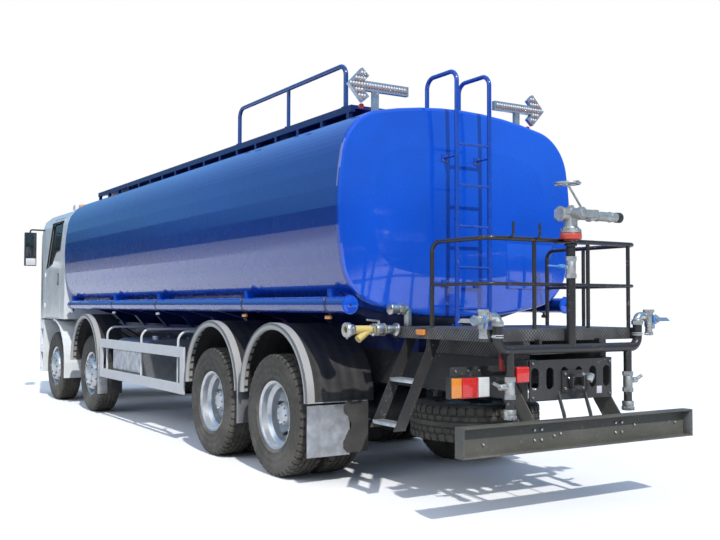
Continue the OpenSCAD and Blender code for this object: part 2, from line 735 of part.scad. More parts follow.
module lamps() {
    r = hose_tube_d / 2;
    color("orange") both_sides() {
        for (x = clamps) {
            box(x - 45, x + 45, tube_y + 10, tube_y + 40, lamp_z - 16, lamp_z + 16);
            box(x - 5, x + 5, tube_y - 5, tube_y + 25, lamp_z + 10, tube_z - r - seat);
        }
    }
    color("orange")
        for (y = [deck_w / 2 + seat, -deck_right - 25])
            box(x_axle4 - 1580, x_axle4 - 1470, y, y + 25 - seat, deck_top - 62, deck_top - 14);
    color("red") {
        // the cluster and its bracket on the frame
        box(lamp_x - 45, lamp_x + 25, frame_w / 2 + 200, frame_w / 2 + 550, 838, 992);
        box(lamp_x + 5, lamp_x + 11, frame_w / 2 + seat, frame_w / 2 + 530, 985, 1060);
        box(lamp_x + 5, lamp_x + 60, frame_w / 2 + seat, frame_w / 2 + 12, 985, 1060);
        // the square lamp beside the end plate
        box(frame_end - 42, frame_end - seat, frame_w / 2 - 2, frame_w / 2 + 126, 945, 1067);
    }
}

// ---- water pipes ----
pipe_r = pipe_d / 2;
pipe_x = deck_x0 - pipe_r - 14;
pipe_z = 1178;
riser_y = 0;
riser_top = 2000;
end_y = 700;
drop_y = frame_w / 2 + 165;
flange_t = 22;
module spray_pipe() {
    color("dimgray") {
        pipe([[pipe_x, end_y, 1345], [pipe_x, end_y, pipe_z], [pipe_x, -end_y, pipe_z],
            [pipe_x, -end_y, 1345]], pipe_r, 75);
        rod([pipe_x, riser_y, pipe_z], [pipe_x, riser_y, riser_top], pipe_r - 1.5);
        for (y = [drop_y, -drop_y]) rod([pipe_x, y, pipe_z], [pipe_x, y, 765], pipe_r - 4);
        for (y = [-300, 300])
            box(pipe_x, deck_x0 - seat, y - 12, y + 12, pipe_z + 5, pipe_z + 70);
        translate([pipe_x, riser_y, riser_top]) cylinder(h = flange_t, r = 78);
    }
}
module spray_nozzles() {
    color("silver") {
        both_sides() {
            // drop nozzle and its valve
            translate([pipe_x, drop_y, 700]) cylinder(h = 65 - seat, r = pipe_r + 8);
            // outward elbow, valve and flat nozzle
            translate([pipe_x, end_y, 1345 + seat]) cylinder(h = 30, r = pipe_r + 2);
            pipe([[pipe_x, end_y, 1376], [pipe_x, end_y, 1412], [pipe_x, end_y + 130, 1412]], pipe_r - 4, 34);
            translate([pipe_x, end_y + 130, 1330]) cylinder(h = 120, r = pipe_r - 1);
            along_y(end_y + 150, end_y + 290)
                polygon([[pipe_x - 75, 1372], [pipe_x + 75, 1372], [pipe_x + 40, 1400], [pipe_x - 40, 1400]]);
        }
        
    }
}
monitor_z = 2160;
swivel_z = riser_top + flange_t + seat;   // foot of the turning head
module monitor_swivel() {
    color("silver") {
        translate([pipe_x, riser_y, swivel_z]) cylinder(h = 22, r = 78);
        translate([pipe_x, riser_y, swivel_z]) cylinder(h = monitor_z - swivel_z, r = 50);
        translate([pipe_x, riser_y, monitor_z]) sphere(r = 58);
        difference() {
            rod([pipe_x + 88, riser_y, monitor_z], [pipe_x - 88, riser_y, monitor_z], 40);
            for (e = [-1, 1])
                rod([pipe_x + e * 60, riser_y, monitor_z], [pipe_x + e * 95, riser_y, monitor_z], 18 + fit);
        }
        rod([pipe_x, riser_y, monitor_z], [pipe_x, riser_y + 120, monitor_z], 46);
    }
}
module monitor_barrel() {
    color("silver") {
        for (e = [-1, 1]) {
            rod([pipe_x + e * 94, riser_y, monitor_z], [pipe_x + e * 124, riser_y, monitor_z], 45);
            rod([pipe_x + e * 62, riser_y, monitor_z], [pipe_x + e * 100, riser_y, monitor_z], 18);
        }
        rod([pipe_x, riser_y - 125, monitor_z], [pipe_x, riser_y - 520, monitor_z], 36);
        box(pipe_x - 124, pipe_x + 124, riser_y - 160, riser_y - 120, monitor_z - 30, monitor_z + 30);
        for (x = [pipe_x - 124, pipe_x + 96])
            box(x, x + 28, riser_y - 140, riser_y, monitor_z - 28, monitor_z + 28);
        pipe([[pipe_x, riser_y - 140, monitor_z + 20], [pipe_x, riser_y + 30, monitor_z + 225]], 8, 10);
        rod([pipe_x - 110, riser_y + 30, monitor_z + 225], [pipe_x + 110, riser_y + 30, monitor_z + 225], 12);
    }
}
hydrant_x = x_axle4 - 1200;
hydrant_z = 1300;
hydrant_bore = 26;
module hydrant() {
    color("khaki")
        difference() {
            union() {
                rod([hydrant_x, deck_w / 2 + seat, hydrant_z], [hydrant_x, 1225, hydrant_z], 33);
                rod([hydrant_x, 1195, hydrant_z], [hydrant_x, 1225, hydrant_z], 55);
                rod([hydrant_x, 880, hydrant_z], [hydrant_x, 960, hydrant_z], 48);
                rod([hydrant_x, 1010, hydrant_z], [hydrant_x - 10, 1120, hydrant_z - 75], 30);
            }
            rod([hydrant_x, 1080, hydrant_z], [hydrant_x, 1260, hydrant_z], hydrant_bore);
        }
}

// ---- arrow boards on the tank's rear ----
module arrow_boards() {
    x0 = x_tank0 + 120;
    color("silver") both_sides() {
        along_x(x0, x0 + 40)
            polygon([[1060, 3285], [925, 3425], [860, 3365], [905, 3320], [470, 3320], [470, 3240],
                [905, 3240], [860, 3195], [925, 3140]]);
        difference() {
            box(x0 + 40 + seat, x0 + 70, 740, 800, tank_zc, 3300);
            along_x(x_tank0, x_tank1) tank_outline(seat);
        }
    }
}

// ---- engine ----
module engine() {
    color("dimgray") {
        box(x_axle1 - 1050, x_axle1 + 700, -330, 330, frame_bottom - 60, cab_floor - 120);
        box(x_axle1 - 1760, x_axle1 - 1050, -210, 210, 700, frame_top - 20);
        both_sides() {
            box(x_axle1 + 560, x_axle1 + 660, 320, frame_w / 2 - frame_t - seat, frame_bottom + 40, frame_bottom + 120);
            box(x_axle1 - 920, x_axle1 - 820, 320, frame_w / 2 - frame_t - seat, frame_bottom + 40, frame_bottom + 120);
        }
    }
}

// ---- front of the chassis ----
bumper_top = 870;
bumper_t = 45;
module front_bumper() {
    x0 = x_cab1 - 428;
    color("white")
        difference() {
            linear_extrude_z(400, bumper_top) polygon(plan_outline(0, x_front));
            linear_extrude_z(390, bumper_top + 10) polygon(plan_outline(-bumper_t, x_front));
            box(x_cab0 - 100, x0, -1400, 1400, 0, 2000);
        }
    color("dimgray") both_sides()
        box(frame_front - 130, x_front - bumper_t + 2, frame_w / 2 - 90, frame_w / 2, 700, frame_bottom - seat);
}
cab_arch_r = 690;     // outer radius of the front mudguard, under the cab floor
cab_arch_z = cab_floor - cab_arch_r - seat;
module cab_steps() {
    x0 = x_cab1 - 688;
    x1 = x_cab1 - 433;
    color("white") both_sides() {
        difference() {
            box(x0, x1, 800, cab_w / 2 - 15, 400, cab_floor - 25);
            for (z = [470, 850]) box(x0 + 40, x1 - 40, 1000, cab_w / 2 + 10, z, z + 250);
        }
        box(x0 + 60, x0 + 160, frame_w / 2 + seat, 802, 900, 1000);
    }
    color("white") both_sides() {
        along_y(930, cab_w / 2 - 10)
            polygon(concat(arc([x_axle1, cab_arch_z], cab_arch_r, 88, 178, 8),
                [[x_axle1 - cab_arch_r, 380]], [[x_axle1 - cab_arch_r + 30, 380]],
                arc([x_axle1, cab_arch_z], cab_arch_r - 30, 178, 88, 8)));
        box(x_axle1 - 300, x_axle1 - 200, frame_w / 2 + seat, 930, 1090, 1150);
    }
}
// Plan outline of the cab and bumper, moved out by g, with its front at x.
function plan_outline(g, x) =
    let (y = cab_w / 2 + g, half = [[x_cab0 - g, y], [x - 650, y], [x - 380, y - 30],
        [x - 180, y - 105], [x - 50 + g * 0.7, y - 245], [x + g, y - 420]])
    concat(half, [for (i = [len(half) - 1:-1:0]) [half[i][0], -half[i][1]]]);
module linear_extrude_z(z0, z1) {
    translate([0, 0, z0]) linear_extrude(z1 - z0) children();
}
apron_l = 330;        // the cab's front apron reaches this far back
// Side outline of the cab, moved out by g. Only the outer one has the apron.
function side_outline(g) = concat(
    [[x_cab0 - g, cab_floor - g], [x_cab0 - g, cab_top - 110 + g * 0.5],
    [x_cab0 + 90, cab_top - 20 + g], [x_cab0 + 900, cab_top + g], [x_cab1 - 560, cab_top - 45 + g],
    [x_cab1 - 400 + g * 0.7, cab_top - 130 + g * 0.6], [x_cab1 - 80 + g, 1980],
    [x_cab1 - 15 + g, 1800], [x_cab1 + g, 1400]],
    g < 0 ? [[x_cab1 + g, cab_floor - g]]
        : [[x_cab1, bumper_top + 25], [x_cab1 - apron_l, bumper_top + 25], [x_cab1 - apron_l, cab_floor]]);
// Front outline of the cab, moved out by g.
function front_outline(g) =
    let (y = cab_w / 2 + g, half = [[y, 800], [y, 2050], [y - 60, cab_top - 230],
        [y - 90, cab_top - 120 + g * 0.4], [y - 160 + g * 0.3, cab_top - 40 + g * 0.8], [y - 260, cab_top - 5 + g]])
    concat(half, [for (i = [len(half) - 1:-1:0]) [-half[i][0], half[i][1]]]);
module cab_volume(g) {
    intersection() {
        linear_extrude_z(800, 3200) polygon(plan_outline(g, x_cab1));
        along_y(-1400, 1400) polygon(side_outline(g));
        along_x(x_cab0 - 100, x_cab1 + 100) polygon(front_outline(g));
    }
}
door_x0 = x_cab0 + 280;
door_x1 = x_cab1 - 790;
door_z0 = cab_floor + 15;
door_gap = 7;
door_depth = 165;     // how far in a door reaches
// Side outline of a door, moved out by g.
function door_outline(g) = [
    [door_x0 - g, door_z0 - g], [door_x1 + g, door_z0 - g], [door_x1 + g, 2080],
    [door_x1 - 165 + g, cab_top - 135 + g], [door_x0 - g, cab_top - 135 + g]];
// Outline of a door's window, moved out by g.
function window_outline(g) = [
    [door_x0 + 75 - g, cab_top - 185 + g], [door_x0 + 105 - g, 2355 - g],
    [door_x0 + 330, 2330 - g], [door_x0 + 520, 2150 - g], [door_x1 - 75 + g, 2090 - g],
    [door_x1 - 215 + g, cab_top - 185 + g]];
// Front outline of the windscreen opening, moved out by g.
function screen_outline(g) =
    [[-1010 - g, 1790 - g], [1010 + g, 1790 - g], [900 + g, 2620 + g], [-900 - g, 2620 + g]];
module cab_skin(outer, inner) {
    difference() {
        cab_volume(outer);
        cab_volume(inner);
    }
}
module cab_shell() {
    color("white")
        difference() {
            cab_skin(0, -wall_t);
            linear_extrude_z(800, cab_floor) polygon(plan_outline(-wall_t, x_cab1));
            both_sides() {
                along_y(cab_w / 2 - door_depth, cab_w / 2 + 50) polygon(door_outline(door_gap));
                for (z = door_hinges)
                    translate([hinge_door[0], hinge_door[1], z - 5]) cylinder(h = 80, r = hinge_r_door + 4);
            }
            along_x(x_cab1 - 700, x_cab1 + 50) polygon(screen_outline(0));
        }
    color("dimgray") both_sides() {
        box(hinge_x - 35, hinge_x + 35, frame_w / 2 - 85, frame_w / 2 - 50, hinge_z - 30, cab_floor + 5);
        rod([hinge_x, frame_w / 2 - 60, hinge_z], [hinge_x, frame_w / 2, hinge_z], pin_cab);
    }
}
module windscreen() {
    color("lightblue", 0.4)
        intersection() {
            cab_skin(-14, -20);
            along_x(x_cab1 - 700, x_cab1 + 50) polygon(screen_outline(-0.5));
        }
}
hinge_r_door = 9;
hinge_door = [door_x1 + 3, cab_w / 2 + 2];      // x, y of a door's hinge axis
door_hinges = [1450, 1950];
module door_left() {
    color("white") {
        for (z = door_hinges)
            translate([hinge_door[0], hinge_door[1], z]) cylinder(h = 70, r = hinge_r_door);
        door_panel();
    }
}
module door_panel() {
    intersection() {
        cab_skin(0, -wall_t);
        difference() {
            along_y(cab_w / 2 - door_depth, cab_w / 2 + 50) polygon(door_outline(0));
            along_y(cab_w / 2 - door_depth - 10, cab_w / 2 + 60) polygon(window_outline(0));
        }
        // the rear edge is rounded about the hinge, to swing past the pillar
        translate([hinge_door[0], hinge_door[1], 0]) cylinder(h = 2 * cab_top, r = hinge_door[0] - door_x0);
    }
}
module door_glass_left() {
    color("lightblue", 0.4)
        intersection() {
            cab_skin(-22, -28);
            along_y(cab_w / 2 - 300, cab_w / 2 + 50) polygon(window_outline(-0.5));
        }
}
module door_right() {
    mirror([0, 1, 0]) door_left();
}
module door_glass_right() {
    mirror([0, 1, 0]) door_glass_left();
}
seat_x = x_cab0 + 480;
seat_y = 600;
module seats() {
    color("dimgray") both_sides() {
        box(seat_x, seat_x + 520, seat_y - 255, seat_y + 255, cab_floor + wall_t + 330, cab_floor + wall_t + 450);
        box(seat_x + 80, seat_x + 440, seat_y - 180, seat_y + 180, cab_floor + wall_t + seat, cab_floor + wall_t + 330);
        along_y(seat_y - 240, seat_y + 240)
            polygon([[seat_x, cab_floor + wall_t + 450], [seat_x + 130, cab_floor + wall_t + 450],
                [seat_x + 10, cab_floor + wall_t + 1130], [seat_x - 90, cab_floor + wall_t + 1130]]);
    }
}
module dashboard() {
    x1 = x_cab1 - wall_t - 90;
    y1 = cab_w / 2 - wall_t - 270;
    wheel = [x1 - 500, seat_y, cab_floor + wall_t + 690];
    color("dimgray") {
        box(x1 - 330, x1, -y1, y1, cab_floor + wall_t + 200, cab_floor + wall_t + 470);
        for (y = [-y1, 0, y1 - 60]) box(x1 - 200, x1 - 100, y, y + 60, cab_floor + wall_t + seat, cab_floor + wall_t + 200);
        rod([x1 - 300, seat_y, cab_floor + wall_t + 430], wheel, 25);
        translate(wheel) rotate([0, -50, 0]) {
            rotate_extrude() translate([215, 0]) circle(r = 16);
            for (a = [90, 210, 330]) rotate([0, 0, a]) rod([0, 0, 0], [215, 0, 0], 11);
        }
    }
}
mirror_x = x_cab1 - 470;
module mirrors() {
    color("dimgray") both_sides() {
        box(mirror_x - 60, mirror_x + 20, 1310, 1490, 2140, 2690);
        pipe([[mirror_x, 1400, 2690], [mirror_x, 1400, 2740], [mirror_x, 1163.2, 2740]], 13, 30);
    }
}
module beacon_bar() {
    x = x_cab0 + 900;
    color("orange") box(x - 90, x + 90, -850, 850, cab_top + 28, cab_top + 150);
    color("dimgray") both_sides() box(x - 50, x + 50, 550, 640, cab_top - 5 + seat, cab_top + 28);
}

frame();
rear_crossmember();
tank_subframe();
tank();
manhole_lid();
walkway();
top_handrail();
rear_ladder();
deck();
deck_railing();
deck_steps();
underrun_bar();
spare_wheel();
lamps();
hose_tubes();
side_guards();
fuel_tank();
service_boxes();
mudguards();
mudflaps();
spray_pipe();
spray_nozzles();
monitor_swivel();
monitor_barrel();
hydrant();
arrow_boards();
axle_beams();
leaf_springs();
engine();
front_bumper();
cab_steps();
cab_shell();
windscreen();
door_left();
door_right();
door_glass_left();
door_glass_right();
seats();
dashboard();
mirrors();
beacon_bar();
knuckle(x_axle1);  // knuckle_1_left
mirror([0, 1, 0]) knuckle(x_axle1);  // knuckle_1_right
knuckle(x_axle2);  // knuckle_2_left
mirror([0, 1, 0]) knuckle(x_axle2);  // knuckle_2_right
steered_wheel(x_axle1);  // wheel_1_left
mirror([0, 1, 0]) steered_wheel(x_axle1);  // wheel_1_right
steered_wheel(x_axle2);  // wheel_2_left
mirror([0, 1, 0]) steered_wheel(x_axle2);  // wheel_2_right
twin_wheels(x_axle3);  // wheels_3_left
mirror([0, 1, 0]) twin_wheels(x_axle3);  // wheels_3_right
twin_wheels(x_axle4);  // wheels_4_left
mirror([0, 1, 0]) twin_wheels(x_axle4);  // wheels_4_right
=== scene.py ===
# %% [markdown]
# # A blue water tanker with a rear work platform
#
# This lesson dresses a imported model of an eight-wheeled water tanker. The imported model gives
# every solid its true size and place. Blender adds what a model for a machine shop leaves out:
# tyre tread, wheel nuts, lamp lenses, bolts, valve levers, and the finish of each surface.
#
# The frame is in metres, with +X forward, +Y to the left and the ground at zero height.

# %% Load the frame
import json
import math
import random

import bpy
from mathutils import Matrix, Vector

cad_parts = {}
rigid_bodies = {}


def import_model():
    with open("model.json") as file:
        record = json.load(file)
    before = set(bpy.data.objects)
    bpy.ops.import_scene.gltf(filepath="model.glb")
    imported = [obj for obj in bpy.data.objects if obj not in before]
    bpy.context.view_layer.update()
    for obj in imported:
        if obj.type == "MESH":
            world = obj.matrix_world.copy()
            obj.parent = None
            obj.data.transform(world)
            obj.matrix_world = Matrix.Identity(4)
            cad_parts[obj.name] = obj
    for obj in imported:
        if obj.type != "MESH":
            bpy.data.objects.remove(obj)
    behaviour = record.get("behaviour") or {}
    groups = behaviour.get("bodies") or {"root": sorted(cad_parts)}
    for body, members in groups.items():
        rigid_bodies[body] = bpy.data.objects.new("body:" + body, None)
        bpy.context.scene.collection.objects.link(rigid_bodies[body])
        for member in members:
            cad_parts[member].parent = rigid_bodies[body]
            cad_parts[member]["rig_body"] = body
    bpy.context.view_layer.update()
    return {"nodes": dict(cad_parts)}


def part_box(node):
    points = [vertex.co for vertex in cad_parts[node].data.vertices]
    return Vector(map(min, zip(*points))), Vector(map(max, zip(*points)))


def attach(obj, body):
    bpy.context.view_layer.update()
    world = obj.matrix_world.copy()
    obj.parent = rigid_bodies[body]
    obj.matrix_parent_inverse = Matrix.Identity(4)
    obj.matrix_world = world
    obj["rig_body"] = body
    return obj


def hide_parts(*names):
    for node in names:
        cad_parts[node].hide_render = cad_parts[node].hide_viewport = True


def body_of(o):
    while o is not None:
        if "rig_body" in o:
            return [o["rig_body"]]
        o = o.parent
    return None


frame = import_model()
nodes = frame["nodes"]

# %% [markdown]
# ## Shader maths as plain expressions
#
# A paint is a small sum: dust on what faces up, wear in small scattered scuffs, a little noise in
# the gloss. Written as nodes by hand that sum is hard to read. The class below wraps a socket,
# so that `dust * 0.4 + 0.1` adds the Math nodes by itself. Colours and vectors are mixed by
# their own nodes, because a Math node would turn a colour grey.

# %% A socket that can be added and multiplied
class Val:
    """A node's output that plain arithmetic works on."""

    def __init__(self, tree, socket):
        self.tree, self.socket = tree, socket

    def math(self, operation, *values, first=None):
        node = self.tree.nodes.new("ShaderNodeMath")
        node.operation = operation
        terms = (self,) + values if first is None else (first, self)
        for slot, value in zip(node.inputs, terms):
            feed(self.tree, value, slot)
        return Val(self.tree, node.outputs[0])

    def __add__(self, other): return self.math("ADD", other)
    def __radd__(self, other): return self.math("ADD", other)
    def __sub__(self, other): return self.math("SUBTRACT", other)
    def __rsub__(self, other): return self.math("SUBTRACT", first=other)
    def __mul__(self, other): return self.math("MULTIPLY", other)
    def __rmul__(self, other): return self.math("MULTIPLY", other)
    def __truediv__(self, other): return self.math("DIVIDE", other)
    def __gt__(self, other): return self.math("GREATER_THAN", other)
    def __lt__(self, other): return self.math("LESS_THAN", other)
    def sin(self): return self.math("SINE")
    def abs(self): return self.math("ABSOLUTE")
    def hypot(self, other): return (self * self + other * other).math("SQRT")
    def angle(self, other): return self.math("ARCTAN2", other)
    def most(self, other): return self.math("MAXIMUM", other)
    def wrap(self, low, high): return self.math("WRAP", high, low)

    def ramp(self, low, high):
        """0 below low and 1 above high, with a smooth rise between."""
        node = self.tree.nodes.new("ShaderNodeMapRange")
        node.interpolation_type = "SMOOTHSTEP"
        for slot, value in zip(node.inputs, (self, low, high, 0.0, 1.0)):
            feed(self.tree, value, slot)
        return Val(self.tree, node.outputs[0])


def feed(tree, value, slot):
    """Links a Val to a slot, or sets the slot to a number or colour."""
    if isinstance(value, Val):
        tree.links.new(value.socket, slot)
    elif hasattr(slot.default_value, "__len__") and len(value) < len(slot.default_value):
        slot.default_value = (*value, 1.0)
    else:
        slot.default_value = value


def add_node(tree, kind, values=None, out=0, stops=None, **settings):
    """Any node: its settings and a ramp's stops first, then its sockets. Returns one output."""
    node = tree.nodes.new(kind)
    for key, value in settings.items():
        setattr(node, key, value)
    for position, color in stops or ():
        node.color_ramp.elements.new(position).color = (*color, 1.0)
    for key, value in (values or {}).items():
        feed(tree, value, node.inputs[key])
    return Val(tree, node.outputs[out])


# %% A material under construction
class Finish:
    """One procedural material. Its fixed numbers sit on the shader's own sockets."""

    def __init__(self, name, **fixed):
        self.material = bpy.data.materials.new(name)
        self.material.use_nodes = True
        self.tree = self.material.node_tree
        self.shader = self.tree.nodes["Principled BSDF"]
        for socket, value in fixed.items():
            feed(self.tree, value, self.shader.inputs[socket.replace("_", " ")])
        self.point = self.node("ShaderNodeTexCoord", out="Object")
        self.x, self.y, self.z = (self.node("ShaderNodeSeparateXYZ", {"Vector": self.point}, out=i)
                                  for i in range(3))

    def node(self, kind, values=None, out=0, **settings):
        return add_node(self.tree, kind, values, out, **settings)

    def noise(self, scale, detail=4.0, stretch=(1.0, 1.0, 1.0)):
        point = self.node("ShaderNodeMapping", {"Vector": self.point, "Scale": stretch})
        return self.node("ShaderNodeTexNoise", {"Vector": point, "Scale": scale, "Detail": detail})

    def mix(self, factor, low, high):
        """From colour low, at factor 0, to colour high, at factor 1."""
        return self.node("ShaderNodeMix", {0: factor, 6: low, 7: high}, out=2, data_type="RGBA")

    def normal(self, axis):
        """How far the surface faces along an axis, from -1 to 1."""
        facing = self.node("ShaderNodeNewGeometry", out="Normal")
        return self.node("ShaderNodeSeparateXYZ", {"Vector": facing}, out=axis)

    def color(self, value): feed(self.tree, value, self.shader.inputs["Base Color"])
    def rough(self, value): feed(self.tree, value, self.shader.inputs["Roughness"])
    def metal(self, value): feed(self.tree, value, self.shader.inputs["Metallic"])
    def coat(self, value): feed(self.tree, value, self.shader.inputs["Coat Weight"])

    def bump(self, height, distance, strength=1.0):
        """Raises the surface by height times distance, in metres."""
        bumped = self.node("ShaderNodeBump",
                           {"Height": height, "Distance": distance, "Strength": strength})
        feed(self.tree, bumped, self.shader.inputs["Normal"])


# %% [markdown]
# ## Camera, light and floor
#
# The camera stands behind the left rear corner at the height of a person's chest. Its lens is
# slightly long, so the far cab looks small without being flat. A sun-like lamp from behind
# throws the ladder's shadow on the tank, and a wide soft lamp on the left lights the side
# that the sun misses. The floor is pale.

# %% Camera
EYE = Vector((-10.562, 4.915, 1.481))
YAW, PITCH, ROLL = (math.radians(a) for a in (-31.7811, 2.1505, 0.1431))
look = Vector((math.cos(PITCH) * math.cos(YAW), math.cos(PITCH) * math.sin(YAW), math.sin(PITCH)))
side = look.cross(Vector((0, 0, 1))).normalized()
above = side.cross(look)
right = side * math.cos(ROLL) + above * math.sin(ROLL)
up = above * math.cos(ROLL) - side * math.sin(ROLL)
bpy.ops.object.camera_add(location=EYE)
camera = bpy.context.object
turn = Matrix((right, up, -look)).transposed().to_4x4()
camera.matrix_world = Matrix.Translation(EYE) @ turn
camera.data.lens, camera.data.sensor_width = 46.27, 36.0
camera.data.shift_x, camera.data.shift_y = 0.00885, 0.00226
bpy.context.scene.camera = camera
print("camera looks along", [round(v, 3) for v in look])

# %% Lamps
SUN_TRAVEL = Vector((0.72, -0.17, -0.72))    # the way the sun's light goes


def aimed(travel):
    """The rotation of a lamp whose light goes that way."""
    return travel.to_track_quat("-Z", "Y").to_euler()


bpy.ops.object.light_add(type="SUN", rotation=aimed(SUN_TRAVEL))
sun = bpy.context.object
sun.data.energy, sun.data.angle, sun.data.color = 3.1, math.radians(1.2), (1.0, 0.975, 0.94)
bpy.ops.object.light_add(type="AREA", location=(-4.0, 13.0, 9.0),
                         rotation=aimed(Vector((0.25, -1.0, -0.62))))
soft = bpy.context.object
soft.data.shape, soft.data.size, soft.data.size_y = "RECTANGLE", 14.0, 6.0
soft.data.energy, soft.data.color = 430.0, (1.0, 0.975, 0.93)
bpy.context.scene.view_settings.view_transform = "Standard"
print("the sun shines along", [round(v, 2) for v in SUN_TRAVEL])

# %% World and floor
world = bpy.data.worlds.new("studio")
bpy.context.scene.world = world
world.use_nodes = True
sky_tree = world.node_tree
sky = sky_tree.nodes["Background"]


def world_node(kind, values=None, out=0, **settings):
    return add_node(sky_tree, kind, values, out, **settings)


direction = world_node("ShaderNodeTexCoord", out="Generated")
height = world_node("ShaderNodeSeparateXYZ", {"Vector": direction}, out=2)
# What lights dull faces: pale ground, a thin dark line of trees and a soft blue sky.
tone = world_node("ShaderNodeValToRGB", {"Fac": height * 0.5 + 0.5},
                  stops=((0.30, (0.42, 0.41, 0.39)), (0.485, (0.52, 0.51, 0.49)),
                         (0.500, (0.10, 0.12, 0.11)), (0.540, (0.12, 0.15, 0.15)),
                         (0.575, (0.46, 0.56, 0.68)), (0.80, (0.50, 0.62, 0.82)),
                         (0.98, (0.42, 0.56, 0.84))))
# What paint mirrors: a pale ground, a dark line of trees and a clear blue sky.
mirrored = world_node("ShaderNodeValToRGB", {"Fac": height * 0.5 + 0.5},
                      stops=((0.30, (0.50, 0.50, 0.52)), (0.490, (0.66, 0.66, 0.68)),
                             (0.502, (0.03, 0.06, 0.07)), (0.545, (0.03, 0.07, 0.09)),
                             (0.575, (0.13, 0.33, 0.52)), (0.80, (0.22, 0.44, 0.80)),
                             (0.98, (0.30, 0.50, 0.90))))
glossy = world_node("ShaderNodeLightPath", out="Is Glossy Ray")
tone = world_node("ShaderNodeMix", {0: glossy, 6: tone, 7: mirrored}, out=2, data_type="RGBA")
seen = world_node("ShaderNodeLightPath", out="Is Camera Ray")
through = world_node("ShaderNodeLightPath", out="Is Transmission Ray")
feed(sky_tree, world_node("ShaderNodeMix", {0: seen.most(through), 6: tone, 7: (1.0, 1.0, 1.0)},
                          out=2, data_type="RGBA"), sky.inputs["Color"])
feed(sky_tree, 1.0, sky.inputs["Strength"])

bpy.ops.mesh.primitive_plane_add(size=1.0, location=(0, 0, -0.002))
floor = bpy.context.object
floor.name = "floor"
floor.scale = (160.0, 160.0, 1.0)
bpy.ops.object.transform_apply(location=True, rotation=True, scale=True)
pale = Finish("floor_pale", Roughness=0.9, Specular_IOR_Level=0.0)
direct = pale.node("ShaderNodeLightPath", out="Is Camera Ray")
echo = pale.node("ShaderNodeLightPath", out="Is Glossy Ray")
pale.color(pale.mix(direct.most(echo * 0.7), (0.42, 0.42, 0.42), (0.93, 0.93, 0.93)))
floor.data.materials.append(pale.material)
print("lit")

# %% [markdown]
# ## Paints
#
# Every finish starts from one plain colour, then takes what the road does to it: fine dust
# on what faces up or sits low, small scattered scuffs, and a slight waviness of the
# sprayed film that bends reflections.

# %% Road dust shared by all the finishes
DUST = (0.36, 0.33, 0.29)


def dusted(finish, paint, amount, low=0.2, high=1.5):
    """Paint with dust on it: more near the road and on upward faces. Returns (colour, mask)."""
    patches = finish.noise(3.1, 6.0).ramp(0.38, 0.72)
    near_road = 1.0 - finish.z.ramp(low, high)
    upward = finish.normal(2).ramp(0.35, 0.95)
    fine = finish.noise(140.0, 2.0).ramp(0.30, 0.85)
    cover = near_road * 0.75 + upward * 0.35
    mask = (cover * (patches * 0.7 + 0.3) * (fine * 0.6 + 0.4)) * amount
    return finish.mix(mask, paint, DUST), mask


# %% Tank paint: deep metallic blue under a clear coat
def tank_paint():
    f = Finish("tank_blue", Metallic=0.10, Specular_IOR_Level=0.25, Coat_Roughness=0.05,
               Coat_IOR=1.85)
    flake = f.noise(900.0, 1.0).ramp(0.35, 0.75)
    cloud = f.noise(0.9, 3.0, (0.5, 1.0, 1.0)).ramp(0.3, 0.7)
    blue = f.mix(cloud, (0.0015, 0.062, 0.50), (0.0020, 0.088, 0.66))
    blue = f.mix(flake * 0.06, blue, (0.05, 0.26, 0.95))
    flank_shade = f.normal(1).abs().ramp(0.35, 0.95)       # painted shade: faces turned sideways, away from the sun, are painted darker navy
    blue = f.mix(flank_shade * 0.75, blue, (0.001, 0.022, 0.16))
    paint, dust = dusted(f, blue, 0.03, 1.3, 1.9)
    f.color(paint)
    f.rough(f.noise(6.0, 4.0) * 0.10 + 0.22 + dust * 0.5)
    f.coat(0.85 - dust * 1.5)
    waves = f.noise(2.2, 2.0, (0.35, 1.0, 1.0)) + f.noise(260.0, 2.0) * 0.02
    f.bump(waves, 0.006, 0.30)
    return f.material


# %% Plain sprayed paints, each with dust, gloss changes and small worn scuffs
def sprayed(name, tint, rough, dust=0.5, worn=0.0, worn_tint=(0.28, 0.27, 0.25), coat=0.0,
            grain=180.0, low=0.2, high=1.5):
    """A paint of one colour. worn is how much bare metal shows in small scuffs."""
    f = Finish(name, Coat_Roughness=0.12)
    shade = f.noise(7.0, 5.0).ramp(0.25, 0.8)
    darker = tuple(c * 0.90 for c in tint)
    paint = f.mix(shade, darker, tint)
    if worn:
        scuff = f.noise(38.0, 8.0).ramp(0.60, 0.68) * f.noise(4.0, 3.0).ramp(0.45, 0.65) * worn
        paint = f.mix(scuff, paint, worn_tint)
    paint, mask = dusted(f, paint, dust, low, high)
    f.color(paint)
    f.rough(shade * 0.12 + (rough - 0.06) + mask * 0.35)
    if coat:
        f.coat(coat - mask * coat)
    f.bump(f.noise(grain, 3.0), 0.0006, 0.5)
    return f.material


